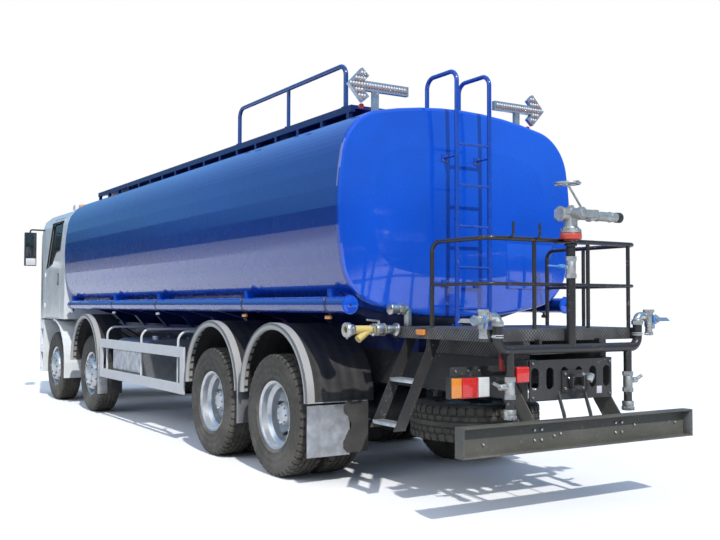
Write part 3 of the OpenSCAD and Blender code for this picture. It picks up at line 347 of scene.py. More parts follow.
PAINT = {
    "tank_blue": tank_paint(),
    "trim_blue": sprayed("trim_blue", (0.003, 0.055, 0.40), 0.28, 0.12, 0.3, coat=0.6),
    "rail_blue": sprayed("rail_blue", (0.010, 0.050, 0.22), 0.30, 0.15, 0.3, coat=0.5),
    "navy": sprayed("navy", (0.008, 0.018, 0.11), 0.34, 0.3, 0.2, coat=0.4),
    "chassis_black": sprayed("chassis_black", (0.018, 0.018, 0.020), 0.52, 0.55, 0.5),
    "rail_black": sprayed("rail_black", (0.020, 0.017, 0.016), 0.38, 0.25, 0.5, coat=0.25),
    "bar_olive": sprayed("bar_olive", (0.070, 0.070, 0.056), 0.50, 0.55, 0.7, (0.20, 0.19, 0.16)),
    "guard_white": sprayed("guard_white", (0.62, 0.64, 0.66), 0.40, 0.30, 0.4, (0.3, 0.3, 0.3)),
    "cab_white": sprayed("cab_white", (0.80, 0.83, 0.84), 0.22, 0.08, coat=1.0, grain=60.0),
    "guard_grey": sprayed("guard_grey", (0.155, 0.165, 0.175), 0.48, 0.35, 0.2),
    "cover_black": sprayed("cover_black", (0.022, 0.022, 0.023), 0.62, 0.55),
    "engine_grey": sprayed("engine_grey", (0.10, 0.10, 0.10), 0.60, 0.6, 0.5),
    "lip_grey": sprayed("lip_grey", (0.42, 0.42, 0.41), 0.36, 0.30, 0.2),
    "strip_grey": sprayed("strip_grey", (0.22, 0.23, 0.23), 0.34, 0.25, 0.5, (0.4, 0.4, 0.4)),
    "coral": sprayed("coral", (0.60, 0.075, 0.045), 0.38, 0.10, 0.3, (0.5, 0.35, 0.3), coat=0.3),
    "dark_red": sprayed("dark_red", (0.14, 0.006, 0.006), 0.42, 0.2, 0.4, (0.05, 0.02, 0.02)),
    "lever_blue": sprayed("lever_blue", (0.08, 0.26, 0.62), 0.35, 0.10, 0.3, (0.5, 0.5, 0.5)),
    "cream": sprayed("cream", (0.64, 0.50, 0.17), 0.42, 0.2, 0.3, (0.4, 0.36, 0.25)),
}
print("mixed", len(PAINT), "paints")


# %% Metals: the colour stays, the gloss and the fine pits change
def metal(name, tint, rough, dust=0.15, pits=0.0004, grain=90.0, stretch=(1, 1, 1)):
    f = Finish(name, Specular_IOR_Level=0.6)
    stain = f.noise(11.0, 6.0, stretch).ramp(0.25, 0.80)
    tarnish = f.mix(stain, tuple(c * 0.62 for c in tint), tint)
    paint, mask = dusted(f, tarnish, dust)
    f.color(paint)
    f.metal(1.0 - mask * 1.2)
    f.rough((1.0 - stain) * 0.18 + rough + mask * 0.3)
    f.bump(f.noise(grain, 4.0, stretch), pits, 0.6)
    return f.material


PAINT.update({
    "plated": metal("plated", (0.72, 0.71, 0.67), 0.26, 0.10),
    "cast_alloy": metal("cast_alloy", (0.62, 0.61, 0.57), 0.42, 0.15, 0.0012, 45.0),
    "aluminium": metal("aluminium", (0.70, 0.71, 0.73), 0.32, 0.22),
    "bolt_steel": metal("bolt_steel", (0.45, 0.44, 0.42), 0.34, 0.25),
    "brass": metal("brass", (0.60, 0.42, 0.16), 0.34, 0.10),
})


# %% Rim paint: silver, with brake dust in the bowl
def rim_paint():
    f = Finish("rim_silver", Coat_Roughness=0.2)
    shade = f.noise(16.0, 5.0).ramp(0.2, 0.8)
    silver = f.mix(shade, (0.52, 0.54, 0.56), (0.70, 0.72, 0.74))
    paint, mask = dusted(f, silver, 0.45, 0.1, 1.2)
    f.color(paint)
    f.metal(0.75 - mask * 0.5)
    f.rough(0.30 + mask * 0.4)
    f.bump(f.noise(300.0, 2.0), 0.0004, 0.5)
    return f.material


# %% Rubber: dry and dusty
def rubber(name="tyre_rubber", tint=(0.040, 0.036, 0.030), dust=0.90, rough=0.74):
    f = Finish(name, Specular_IOR_Level=0.35)
    grey = f.mix(f.noise(24.0, 6.0).ramp(0.3, 0.75), tint, tuple(c * 1.9 for c in tint))
    paint, mask = dusted(f, grey, dust, 0.0, 1.3)
    f.color(paint)
    f.rough(mask * 0.2 + rough)
    f.bump(f.noise(210.0, 5.0), 0.0010, 0.6)
    return f.material


PAINT["rim_silver"], PAINT["tyre_rubber"] = rim_paint(), rubber()
PAINT["seal_rubber"] = rubber("seal_rubber", (0.012, 0.012, 0.013), 0.15, 0.5)


# %% Moulded plastic, cloth and glass
def moulded(name, tint, rough, grain=420.0, dust=0.2):
    f = Finish(name)
    tone = f.mix(f.noise(9.0, 4.0).ramp(0.3, 0.8), tuple(c * 0.85 for c in tint), tint)
    paint, mask = dusted(f, tone, dust)
    f.color(paint)
    f.rough(f.noise(50.0, 3.0) * 0.12 + rough + mask * 0.3)
    f.bump(f.noise(grain, 3.0), 0.0007, 0.6)
    return f.material


def woven(name, tint):
    """Seat cloth: two crossed sets of threads."""
    f = Finish(name, Sheen_Weight=0.4, Sheen_Roughness=0.5, Specular_IOR_Level=0.2)
    warp = ((f.x + f.z) * 900.0).sin() * 0.5 + 0.5
    weft = ((f.y * 900.0).sin()) * 0.5 + 0.5
    thread = warp * weft
    f.color(f.mix(thread, tuple(c * 0.6 for c in tint), tint))
    f.rough(0.9 - thread * 0.1)
    f.bump(thread, 0.0012, 0.7)
    return f.material


def tinted(name, tint, rough=0.03):
    """Cab glass: dark and shiny, with a faint film of dust."""
    f = Finish(name, IOR=1.5, Coat_Roughness=0.02)
    film = f.noise(5.0, 6.0).ramp(0.35, 0.85)
    f.color(f.mix(film * 0.25, tint, (0.12, 0.14, 0.15)))
    f.rough(film * 0.10 + rough)
    f.coat(1.0 - film * 0.2)
    f.bump(f.noise(1.4, 1.0), 0.004, 0.15)
    return f.material


def lens(name, tint, ribs=420.0):
    """A lamp lens: clear coloured plastic over fine upright prisms."""
    f = Finish(name, Coat_Roughness=0.05, Transmission_Weight=0.12, IOR=1.49)
    prism = ((f.x + f.y) * ribs).sin() * 0.5 + 0.5
    rows = (f.z * ribs).sin() * 0.5 + 0.5
    f.color(f.mix(prism * rows * 0.55 + f.noise(30.0, 3.0) * 0.2, tint,
                  tuple(min(1.0, c * 1.7 + 0.03) for c in tint)))
    f.rough(0.14 + rows * 0.06)
    f.coat(1.0 - rows * 0.1)
    f.bump(prism * rows, 0.0010, 0.6)
    return f.material


PAINT.update({
    "black_plastic": moulded("black_plastic", (0.022, 0.022, 0.024), 0.42),
    "grey_plastic": moulded("grey_plastic", (0.30, 0.31, 0.32), 0.45),
    "dash_plastic": moulded("dash_plastic", (0.06, 0.06, 0.065), 0.55),
    "seat_cloth": woven("seat_cloth", (0.08, 0.085, 0.10)),
    "cab_glass": tinted("cab_glass", (0.008, 0.012, 0.014)),
    "amber_lens": lens("amber_lens", (0.80, 0.24, 0.02)),
    "red_lens": lens("red_lens", (0.62, 0.015, 0.012)),
    "smoke_lens": lens("smoke_lens", (0.22, 0.10, 0.07)),
    "clear_lens": lens("clear_lens", (0.72, 0.74, 0.74)),
    "mirror_face": metal("mirror_face", (0.85, 0.87, 0.88), 0.02, 0.02, 0.00005),
})
print("now", len(PAINT), "finishes")


# %% Chequer plate: raised lozenges lying two ways, polished on their tops by boots
def chequer(name, tint):
    f = Finish(name)
    pitch = 0.030                            # metres from one lozenge to the next
    half_long, half_short = 0.40, 0.13       # a lozenge's size, as shares of the pitch
    heights = []
    for lean, offset in ((0.785, 0.0), (0.785 + math.pi / 2, 0.5)):
        row = (f.x + f.z) / pitch + offset
        column = f.y / pitch + offset
        u = row.wrap(0.0, 1.0) - 0.5
        v = column.wrap(0.0, 1.0) - 0.5
        along = u * math.cos(lean) + v * math.sin(lean)
        across = v * math.cos(lean) - u * math.sin(lean)
        edge = (along / half_long).hypot(across / half_short)
        heights.append(1.0 - edge.ramp(0.75, 1.05))
    lozenge = heights[0].most(heights[1])
    wear = lozenge * f.noise(6.0, 5.0).ramp(0.35, 0.65)
    paint = f.mix(wear, tint, (0.30, 0.30, 0.29))
    paint, mask = dusted(f, paint, 0.45, 0.4, 2.5)
    f.color(paint)
    f.metal(wear * 0.5)
    f.rough(0.50 - wear * 0.15 + mask * 0.3)
    f.bump(lozenge, 0.0028, 0.9)
    return f.material


PAINT["chequer"] = chequer("chequer", (0.028, 0.029, 0.031))


# %% Mudguards: a bright bevelled rim on the outside and dark ribbed rubber behind it
def mudguard_finish():
    f = Finish("mudguard_shell")
    out = f.y.abs()
    rim = out.ramp(1.195, 1.200)             # the bright rim starts this far out
    rib_from, rib_pitch = 0.6, 0.110
    arc_rib = ((out - rib_from) * 2.0 * math.pi / rib_pitch).sin() * 0.5 + 0.5
    shade = f.noise(9.0, 5.0).ramp(0.3, 0.75)
    grey = f.mix(shade, (0.105, 0.112, 0.120), (0.150, 0.158, 0.168))
    # Painted shade: the rib crests are painted lighter and the grooves between them darker.
    black = f.mix(arc_rib * 0.6, (0.010, 0.010, 0.011), (0.022, 0.022, 0.023))
    paint, mask = dusted(f, f.mix(rim, black, grey), 0.28, 0.4, 1.9)
    f.color(paint)
    f.rough(0.56 - rim * 0.12 + mask * 0.25)
    f.bump(arc_rib * (1.0 - rim) + f.noise(120.0, 3.0) * 0.05, 0.005, 0.6)
    return f.material


PAINT["mudguard_shell"] = mudguard_finish()

# %% Give each node its finish
FINISH_OF = {
    "tank": "tank_blue", "hose_tubes": "tank_blue", "rear_ladder": "trim_blue",
    "manhole_lid": "trim_blue", "tank_subframe": "navy", "walkway": "navy",
    "top_handrail": "rail_blue", "frame": "chassis_black", "rear_crossmember": "chassis_black",
    "axle_beams": "chassis_black", "leaf_springs": "chassis_black", "spray_pipe": "rail_black",
    "deck_railing": "rail_black", "deck": "chequer", "deck_steps": "chassis_black",
    "underrun_bar": "bar_olive", "side_guards": "guard_white", "fuel_tank": "aluminium",
    "service_boxes": "cover_black", "mudguards": "mudguard_shell", "mudflaps": "cover_black",
    "spray_nozzles": "plated", "monitor_swivel": "cast_alloy", "monitor_barrel": "cast_alloy",
    "hydrant": "cream", "arrow_boards": "aluminium", "engine": "engine_grey",
    "front_bumper": "cab_white", "cab_steps": "cab_white", "cab_shell": "cab_white",
    "door_left": "cab_white", "door_right": "cab_white", "windscreen": "cab_glass",
    "door_glass_left": "cab_glass", "door_glass_right": "cab_glass", "seats": "seat_cloth",
    "dashboard": "dash_plastic", "mirrors": "black_plastic", "beacon_bar": "amber_lens",
    "lamps": "amber_lens", "spare_wheel": "tyre_rubber",
}
for name, node in nodes.items():
    finish = FINISH_OF.get(name)
    if finish is None:
        finish = "chassis_black" if name.startswith("knuckle") else "tyre_rubber"
    node.data.materials.clear()
    node.data.materials.append(PAINT[finish])
print("painted", len(nodes), "nodes")

# %% [markdown]
# ## A small kit of hand moves
#
# New pieces start from a primitive that is shaped in edit mode: bevelled, inset, extruded or
# spun. The helpers below do one such move each. Everything is deselected first, because an
# operator works on all that is selected. At the end each piece's place is put into its mesh.

# %% Select, apply, join
def deselect():
    if bpy.context.object and bpy.context.object.mode != "OBJECT":
        bpy.ops.object.mode_set(mode="OBJECT")
    bpy.ops.object.select_all(action="DESELECT")


def make_active(obj):
    deselect()
    obj.select_set(True)
    bpy.context.view_layer.objects.active = obj


def settle():
    """Puts the active object's place, turn and scale into its mesh."""
    bpy.ops.object.transform_apply(location=True, rotation=True, scale=True)
    return bpy.context.object


def clear_picks(obj, kind):
    """Leaves obj active with nothing of it selected, ready for edges or faces to be picked."""
    make_active(obj)
    bpy.ops.object.mode_set(mode="EDIT")
    bpy.ops.mesh.select_mode(type=kind)
    bpy.ops.mesh.select_all(action="DESELECT")
    bpy.ops.object.mode_set(mode="OBJECT")


def bevelled(obj, width, segments=2):
    make_active(obj)
    bpy.ops.object.mode_set(mode="EDIT")
    bpy.ops.mesh.select_all(action="SELECT")
    bpy.ops.mesh.bevel(offset=width, segments=segments, affect="EDGES", clamp_overlap=True)
    bpy.ops.object.mode_set(mode="OBJECT")
    return obj


# %% Blocks and bars
def block(low, high, bevel=0.003, segments=2):
    """A bevelled block between two corners."""
    low, high = Vector(low), Vector(high)
    deselect()
    bpy.ops.mesh.primitive_cube_add(size=1.0, location=(low + high) / 2)
    bpy.context.object.scale = high - low
    return bevelled(settle(), bevel, segments)


def both_sides(low, high, bevel=0.003, segments=2):
    """The same block on the left and on the right, from the left one's corners."""
    pair = []
    for sign in (1, -1):
        y0, y1 = sorted((sign * low[1], sign * high[1]))
        pair.append(block((low[0], y0, low[2]), (high[0], y1, high[2]), bevel, segments))
    return pair


def bar(start, end, radius, sides=24, bevel=0.0, tip=None):
    """A round bar between two points. tip is the radius at its end, if that differs."""
    start, end = Vector(start), Vector(end)
    deselect()
    place = dict(vertices=sides, depth=(end - start).length, location=(start + end) / 2,
                 rotation=(end - start).to_track_quat("Z", "Y").to_euler())
    if tip is None:
        bpy.ops.mesh.primitive_cylinder_add(radius=radius, **place)
    else:
        bpy.ops.mesh.primitive_cone_add(radius1=radius, radius2=tip, **place)
    obj = settle()
    if bevel:
        rims = {key for p in obj.data.polygons if len(p.vertices) > 4 for key in p.edge_keys}
        clear_picks(obj, "EDGE")
        for edge in obj.data.edges:
            edge.select = edge.key in rims
        bpy.ops.object.mode_set(mode="EDIT")
        bpy.ops.mesh.bevel(offset=bevel, segments=2, affect="EDGES")
        bpy.ops.object.mode_set(mode="OBJECT")
    return obj


# %% Rings, spun from a profile
MERGE = 0.00005                    # points nearer than this are one


def outline(points):
    """A closed chain of edges through points, left selected in edit mode."""
    deselect()
    bpy.ops.mesh.primitive_plane_add(size=0.01)
    bpy.ops.object.mode_set(mode="EDIT")
    bpy.ops.mesh.select_mode(type="VERT")
    bpy.ops.mesh.select_all(action="SELECT")
    bpy.ops.mesh.merge(type="CENTER")
    bpy.ops.transform.translate(value=points[0])
    for last, point in zip(points, points[1:] + points[:1]):
        bpy.ops.mesh.extrude_region_move(TRANSFORM_OT_translate={"value": point - last})
    bpy.ops.mesh.select_all(action="SELECT")
    bpy.ops.mesh.remove_doubles(threshold=MERGE)
    return bpy.context.object


def turned(profile, steps=64, angle=math.tau):
    """A ring about the Y axis, from (radius, along) points. Less than a turn gets end caps."""
    obj = outline([Vector((r, a, 0.0)) for r, a in profile])
    if angle < math.tau:
        bpy.ops.mesh.edge_face_add()
    bpy.ops.mesh.spin(steps=steps, angle=angle, center=(0, 0, 0), axis=(0.0, 1.0, 0.0))
    bpy.ops.mesh.select_all(action="SELECT")
    bpy.ops.mesh.remove_doubles(threshold=MERGE)
    bpy.ops.mesh.normals_make_consistent(inside=False)
    bpy.ops.object.mode_set(mode="OBJECT")
    return obj


def ring_of(count, radius, centre=(0.0, 0.0), start=0.0):
    """Evenly spaced pairs round a circle. start is in steps."""
    angles = [math.tau * (i + start) / count for i in range(count)]
    return [(centre[0] + radius * math.cos(a), centre[1] + radius * math.sin(a)) for a in angles]


# %% Copies, joins and finished pieces
def placed(obj, matrix):
    """A copy of obj with its own mesh, moved by matrix."""
    copy = bpy.data.objects.new(obj.name, obj.data.copy())
    copy.data.transform(matrix)
    bpy.context.collection.objects.link(copy)
    return copy


def shift(x=0.0, y=0.0, z=0.0):
    return Matrix.Translation((x, y, z))


def drop(*objs):
    for obj in objs:
        bpy.data.objects.remove(obj)


def joined(parts, name):
    make_active(parts[0])
    for part in parts:
        part.select_set(True)
    bpy.ops.object.join()
    parts[0].name = name
    return parts[0]


def applied(obj, kind, **settings):
    """Adds one modifier with its settings, and applies it."""
    make_active(obj)
    modifier = obj.modifiers.new(kind.lower(), kind)
    for key, value in settings.items():
        setattr(modifier, key, value)
    bpy.ops.object.modifier_apply(modifier=modifier.name)
    return obj


def piece(name, body, finish, parts, angle=35.0, stands_for=()):
    """Joins parts into one named piece that rides on a body and has one finish."""
    deselect()
    for part in parts:
        part.select_set(True)
    bpy.context.view_layer.objects.active = parts[0]
    if len(parts) > 1:
        bpy.ops.object.join()
    obj = bpy.context.object
    obj.name = obj.data.name = name
    obj.data.materials.clear()
    obj.data.materials.append(PAINT[finish])
    bpy.ops.object.shade_smooth_by_angle(angle=math.radians(angle))
    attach(obj, body)
    if stands_for:
        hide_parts(*stands_for)
    return obj


# %% A hex bolt, modelled once and set wherever one shows
deselect()
bpy.ops.mesh.primitive_cylinder_add(vertices=6, radius=1.0, depth=1.2, location=(0, 0, 0.6))
BOLT = bevelled(settle(), 0.12, 1)
BOLT.name = "bolt_pattern"


def bolts(places, out, size):
    """Hex heads at each place, facing along out. size is half their width."""
    turn = Vector(out).to_track_quat("Z", "Y").to_matrix().to_4x4()
    return [placed(BOLT, Matrix.Translation(p) @ turn @ Matrix.Scale(size, 4)) for p in places]


print("kit ready")

# %% [markdown]
# ## Tyres
#
# A tyre is a closed ring: bead, bulging sidewall, shoulder, and a crown with grooves running
# round it. The ring is spun from its profile. Then, in edit mode, every third row of faces on
# the shoulders is pushed in to leave lugs, with short slits across the middle ribs. It is
# modelled once, then copied to the twelve road wheels and the spare.

# %% The tyre's profile and its lugs
front_low, front_high = (Vector(c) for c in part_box("wheel_1_left"))
TYRE_R = (front_high.z - front_low.z) / 2
HALF = 0.148                       # half a tyre's width
GROOVES = (0.072, 0.025)           # the grooves' distance from the centre line


def half_profile():
    """(radius, along) from the bead out to the centre of the crown, on one side."""
    points = [(0.292, 0.104), (0.297, 0.118), (0.306, 0.129), (0.318, 0.134), (0.322, 0.139),
              (0.332, 0.140), (0.336, 0.138), (0.370, 0.1455), (0.400, HALF), (0.404, 0.1465),
              (0.430, 0.1470), (0.434, 0.1480), (0.460, 0.1440), (0.482, 0.1400), (0.500, 0.1375),
              (TYRE_R - 0.010, 0.1300), (TYRE_R - 0.002, 0.1180)]
    for at in GROOVES:
        points += [(TYRE_R, at + 0.008), (TYRE_R - 0.013, at + 0.005),
                   (TYRE_R - 0.013, at - 0.005), (TYRE_R, at - 0.008)]
    return points


LUGS, ROWS = 46, 3
shoulder = half_profile()
TYRE = turned(shoulder + [(r, -a) for r, a in reversed(shoulder)], steps=LUGS * ROWS)
TYRE.name = "tyre_pattern"


def sink(obj, chosen, depth):
    """Pushes the chosen faces into the surface by depth."""
    clear_picks(obj, "FACE")
    for polygon in obj.data.polygons:
        polygon.select = chosen(polygon.center)
    bpy.ops.object.mode_set(mode="EDIT")
    bpy.ops.mesh.extrude_region_shrink_fatten(TRANSFORM_OT_shrink_fatten={"value": -depth})
    bpy.ops.object.mode_set(mode="OBJECT")


def row_of(centre, shift_rows=0):
    """Which row of faces round the tyre a face lies in, counted within its lug."""
    around = math.atan2(centre.z, centre.x) / (2 * math.pi) * LUGS * ROWS
    return (math.floor(around + 1e-4) + shift_rows) % ROWS


def on_shoulder(centre):
    r = math.hypot(centre.x, centre.z)
    return r > 0.492 and abs(centre.y) > GROOVES[0] + 0.006 and row_of(centre, centre.y > 0) == 0


def on_rib(centre):
    r = math.hypot(centre.x, centre.z)
    return (r > TYRE_R - 0.004 and GROOVES[1] + 0.006 < abs(centre.y) < GROOVES[0] - 0.006
            and row_of(centre) == 1)


sink(TYRE, on_shoulder, 0.011)
sink(TYRE, on_rib, 0.006)
print("tyre:", len(TYRE.data.polygons), "faces,", LUGS, "lugs a side")

# %% [markdown]
# ## Rims and hubs
#
# The same pressed-steel rim serves everywhere. On a steered axle its bowl faces outwards. On
# a driven axle two rims sit back to back, so the outer one shows a deep dish with the wheel
# nuts at the bottom. The bowl has ten hand holes, cut by a Boolean modifier.

# %% A rim with its bowl reaching a given distance along the axle
HUB_R, BEAD_R, FLANGE_R, PLATE = 0.140, 0.2857, 0.298, 0.014
NUT_CIRCLE, NUT_SIZE, HOLE_CIRCLE, HOLE_R = 0.1675, 0.017, 0.233, 0.021


def rim(face):
    """A rim whose bowl reaches face, towards +Y if face is positive."""
    s = math.copysign(1.0, face)
    lip = HALF * 0.74
    rise = face - s * 0.110
    profile = [(FLANGE_R, lip + 0.016), (FLANGE_R + 0.001, lip + 0.008), (FLANGE_R - 0.006, lip),
               (BEAD_R, lip - 0.004), (BEAD_R - 0.006, 0.055), (BEAD_R - 0.040, 0.022),
               (BEAD_R - 0.040, -0.022), (BEAD_R - 0.006, -0.055), (BEAD_R, -lip + 0.004),
               (FLANGE_R - 0.006, -lip), (FLANGE_R + 0.001, -lip - 0.008),
               (FLANGE_R, -lip - 0.016), (BEAD_R + 0.002, -lip - 0.015),
               (BEAD_R - 0.011, -lip - 0.002), (BEAD_R - 0.014, -0.060),
               (BEAD_R - 0.047, -0.030), (BEAD_R - 0.047, 0.030), (BEAD_R - 0.014, 0.060),
               (BEAD_R - 0.011, lip + 0.002), (BEAD_R + 0.002, lip + 0.015)]
    ring = turned(profile, 72)
    bowl = turned([(HUB_R, face), (0.192, face), (0.205, face - s * 0.008),
                   (0.226, face - s * 0.045), (0.256, rise - s * 0.010),
                   (BEAD_R - 0.014, rise - s * 0.016), (BEAD_R - 0.014, rise - s * 0.030),
                   (0.250, rise - s * 0.024), (0.218, face - s * 0.056),
                   (0.196, face - s * (PLATE + 0.004)), (0.188, face - s * PLATE),
                   (HUB_R, face - s * PLATE)], 72)
    holes = joined([bar((x, face - s * 0.16, z), (x, face + s * 0.02, z), HOLE_R, 20)
                    for x, z in ring_of(10, HOLE_CIRCLE, start=0.5)], "hand_hole_cutters")
    applied(bowl, "BOOLEAN", operation="DIFFERENCE", object=holes, solver="EXACT")
    drop(holes)
    return [ring, bowl]


def nut_ring(face, count, circle, size):
    return bolts([(x, face, z) for x, z in ring_of(count, circle)], (0, 1, 0), size)


STEER_FACE, TWIN_GAP = 0.155, 0.344
TWIN_FACE = TWIN_GAP / 2 - 0.0138
STEER_RIM = joined(rim(STEER_FACE), "steered_rim_pattern")
TWIN_RIM = joined(rim(-TWIN_FACE), "twin_rim_pattern")
STEER_HUB = turned([(0.001, 0.00), (HUB_R - 0.001, 0.00), (HUB_R - 0.001, STEER_FACE + 0.002),
                    (0.100, STEER_FACE + 0.010), (0.078, STEER_FACE + 0.028),
                    (0.066, STEER_FACE + 0.030), (0.001, STEER_FACE + 0.030)], 48)
TWIN_HUB = turned([(0.001, -0.17), (HUB_R - 0.001, -0.17), (HUB_R - 0.001, -0.135),
                   (0.112, -0.120), (0.104, 0.030), (0.090, 0.050), (0.001, 0.055)], 48)
STEER_NUTS = joined(nut_ring(STEER_FACE, 10, NUT_CIRCLE, NUT_SIZE), "steered_nut_pattern")
TWIN_NUTS = joined(nut_ring(-TWIN_FACE, 10, NUT_CIRCLE, NUT_SIZE), "driven_nut_pattern")
HUB_NUTS = joined(nut_ring(0.052, 8, 0.084, 0.009), "hub_nut_pattern")

# %% Set a wheel at each hub
HALF_TURN = Matrix.Rotation(math.pi, 4, "Z")
STEER_OUT, TWIN_OUT = 1.030, 1.098     # the outer tyre's middle, out from the truck's
for node in [n for n in nodes if n.startswith("wheel_") or n.startswith("wheels_")]:
    low, high = (Vector(c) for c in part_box(node))
    number, hand = node.split("_")[1:]
    body = body_of(nodes[node])[0]
    twin = node.startswith("wheels_")
    sign = 1 if hand == "left" else -1
    outer = TWIN_OUT if twin else STEER_OUT
    centre = shift((low.x + high.x) / 2, sign * outer, (low.z + high.z) / 2)
    facing = centre if sign > 0 else centre @ HALF_TURN
    inner = shift((low.x + high.x) / 2, sign * (outer - TWIN_GAP), (low.z + high.z) / 2)
    inner_facing = inner if sign < 0 else inner @ HALF_TURN
    label = f"{number}_{hand}"
    tyres = [placed(TYRE, facing)] + ([placed(TYRE, inner_facing)] if twin else [])
    rims = [placed(TWIN_RIM if twin else STEER_RIM, facing)]
    rims += [placed(TWIN_RIM, inner_facing)] if twin else []
    piece("tyre_" + label, body, "tyre_rubber", tyres, 40.0, (node,))
    piece("rim_" + label, body, "rim_silver", rims, 40.0)
    piece("hub_" + label, body, "rim_silver", [placed(TWIN_HUB if twin else STEER_HUB, facing)])
    nuts = [placed(TWIN_NUTS if twin else STEER_NUTS, facing)]
    nuts += [placed(HUB_NUTS, facing)] if twin else []
    piece("nuts_" + label, body, "bolt_steel", nuts, 30.0)
print("wheels set")

# %% The spare lies flat under the tail, hung from a crossbar
low, high = (Vector(c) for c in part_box("spare_wheel"))
spare_centre = Vector(((low.x + high.x) / 2, 0.0, low.z + HALF))
flat = Matrix.Translation(spare_centre) @ Matrix.Rotation(-math.pi / 2, 4, "X")
piece("spare_tyre", "chassis", "tyre_rubber", [placed(TYRE, flat)], 40.0, ("spare_wheel",))
hang = [bar(spare_centre + Vector((0, 0, 0.12)), (spare_centre.x, 0, high.z), 0.03, 20),
        block(spare_centre + Vector((-0.17, -0.05, 0.135)),
              spare_centre + Vector((0.17, 0.05, 0.150)))]
piece("spare_hanger", "chassis", "chassis_black", hang)
piece("spare_rim", "chassis", "rim_silver", [placed(STEER_RIM, flat)], 40.0)
drop(TYRE, STEER_RIM, TWIN_RIM, STEER_HUB, TWIN_HUB, STEER_NUTS, TWIN_NUTS, HUB_NUTS)
print("spare hung at", [round(v, 3) for v in spare_centre])

# %% [markdown]
# ## Mudguards and flaps
#
# Each mudguard is a black moulded arch with a broad grey lip on its outer edge. The lip faces
# sideways and catches the light along a bevel. It is a spun half ring: a flat band with a
# raised inner bead. Behind the rear axle hangs a flap of bare sheet, with a torn rubber flap
# over its inner half.

# %% Lips on the six arches
ARCH_Z, ARCH_OUT = 0.683, 1.247
wheel_x = [(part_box(n)[0][0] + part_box(n)[1][0]) / 2
           for n in ("wheels_4_left", "wheels_3_left", "wheel_2_left")]
ARCHES = [(wheel_x[0] + 0.025, 0.650), (wheel_x[1] + 0.025, 0.650), (wheel_x[2] + 0.095, 0.677)]
lips = []
for x, radius in ARCHES:
    lip = turned([(radius + 0.004, 1.170), (radius + 0.004, 1.232), (radius - 0.012, ARCH_OUT),
                  (radius - 0.044, ARCH_OUT), (radius - 0.056, 1.238), (radius - 0.060, 1.226),
                  (radius - 0.054, 1.222), (radius - 0.044, 1.236), (radius - 0.019, 1.236),
                  (radius - 0.019, 1.170)], 48, math.pi)
    lips += [placed(lip, shift(x, 0, ARCH_Z)), placed(lip, shift(x, 0, ARCH_Z) @ HALF_TURN)]
    drop(lip)
piece("mudguard_lips", "chassis", "lip_grey", lips, 30.0)

# %% Flaps behind the axles, and the rolled rail over the last pair
flap_x = ARCHES[0][0] - ARCHES[0][1]
flap_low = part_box("mudflaps")[0][2]
GAUGE, FLAP_IN, FLAP_ROWS = 0.002, 0.652, 22


def sheet_flap(sign):
    """A bare sheet, slightly buckled, under the rubber flap."""
    deselect()
    bpy.ops.mesh.primitive_grid_add(x_subdivisions=14, y_subdivisions=16, size=1.0)
    obj = bpy.context.object
    for v in obj.data.vertices:
        u, w = v.co.x + 0.5, v.co.y + 0.5
        buckle = 0.0018 * math.sin(7.0 * u + 2.0 * w) + 0.0015 * math.sin(11.0 * w + u * 3.0)
        v.co = Vector((flap_x - 0.004 + buckle, sign * (0.835 + 0.408 * u),
                       flap_low + 0.003 + (ARCH_Z - flap_low - 0.02) * w))
    return applied(obj, "SOLIDIFY", thickness=GAUGE, offset=0.0)


def rubber_flap(sign):
    """The inner black flap: a grid with a ragged outer edge."""
    deselect()
    bpy.ops.mesh.primitive_grid_add(x_subdivisions=8, y_subdivisions=FLAP_ROWS, size=1.0)
    obj = bpy.context.object
    rng = random.Random(11)
    ragged = [rng.uniform(-0.010, 0.012) for _ in range(FLAP_ROWS + 1)]
    for v in obj.data.vertices:
        u, w = v.co.x + 0.5, v.co.y + 0.5
        edge = 0.860 + 0.035 * math.sin(w * 9.0) + ragged[round(w * FLAP_ROWS)]
        y = FLAP_IN + (edge - FLAP_IN) * u
        v.co = Vector((flap_x - 0.0065 + 0.0008 * math.sin(13.0 * u), sign * y,
                       flap_low + 0.02 + (ARCH_Z - flap_low) * w))
    return applied(obj, "SOLIDIFY", thickness=GAUGE, offset=0.0)


piece("flap_sheets", "chassis", "aluminium", [sheet_flap(1), sheet_flap(-1)], 60.0,
      stands_for=("mudflaps",))
piece("flap_rubbers", "chassis", "cover_black", [rubber_flap(1), rubber_flap(-1)], 60.0)
front_flaps, front_strips = [], []
for (x, radius), inner, bottom in ((ARCHES[1], 0.645, 0.38), (ARCHES[2], 0.90, 0.29)):
    edge = x - radius
    front_flaps += both_sides((edge - 0.007, inner, bottom), (edge - 0.002, 1.10, ARCH_Z + 0.02),
                              0.002)
    front_strips += both_sides((edge - 0.005, 1.105, bottom), (edge - 0.002, 1.240, ARCH_Z), 0.001)
piece("front_flaps", "chassis", "cover_black", front_flaps)
piece("front_flap_strips", "chassis", "aluminium", front_strips)
rails = [bar((flap_x - 0.003, sign * 0.66, ARCH_Z + 0.004),
             (flap_x - 0.003, sign * 1.243, ARCH_Z + 0.004), 0.005, 12) for sign in (1, -1)]
piece("flap_rails", "chassis", "lip_grey", rails)
print("mudguards trimmed")

# %% [markdown]
# ## Lamps
#
# The rear lamp is a moulded box in three colours, each with its own prisms, under a black
# bracket with three bolts. A square red lamp hangs beside the end plate. Along each side runs
# a row of small markers on strips that hang from the hose tubes.

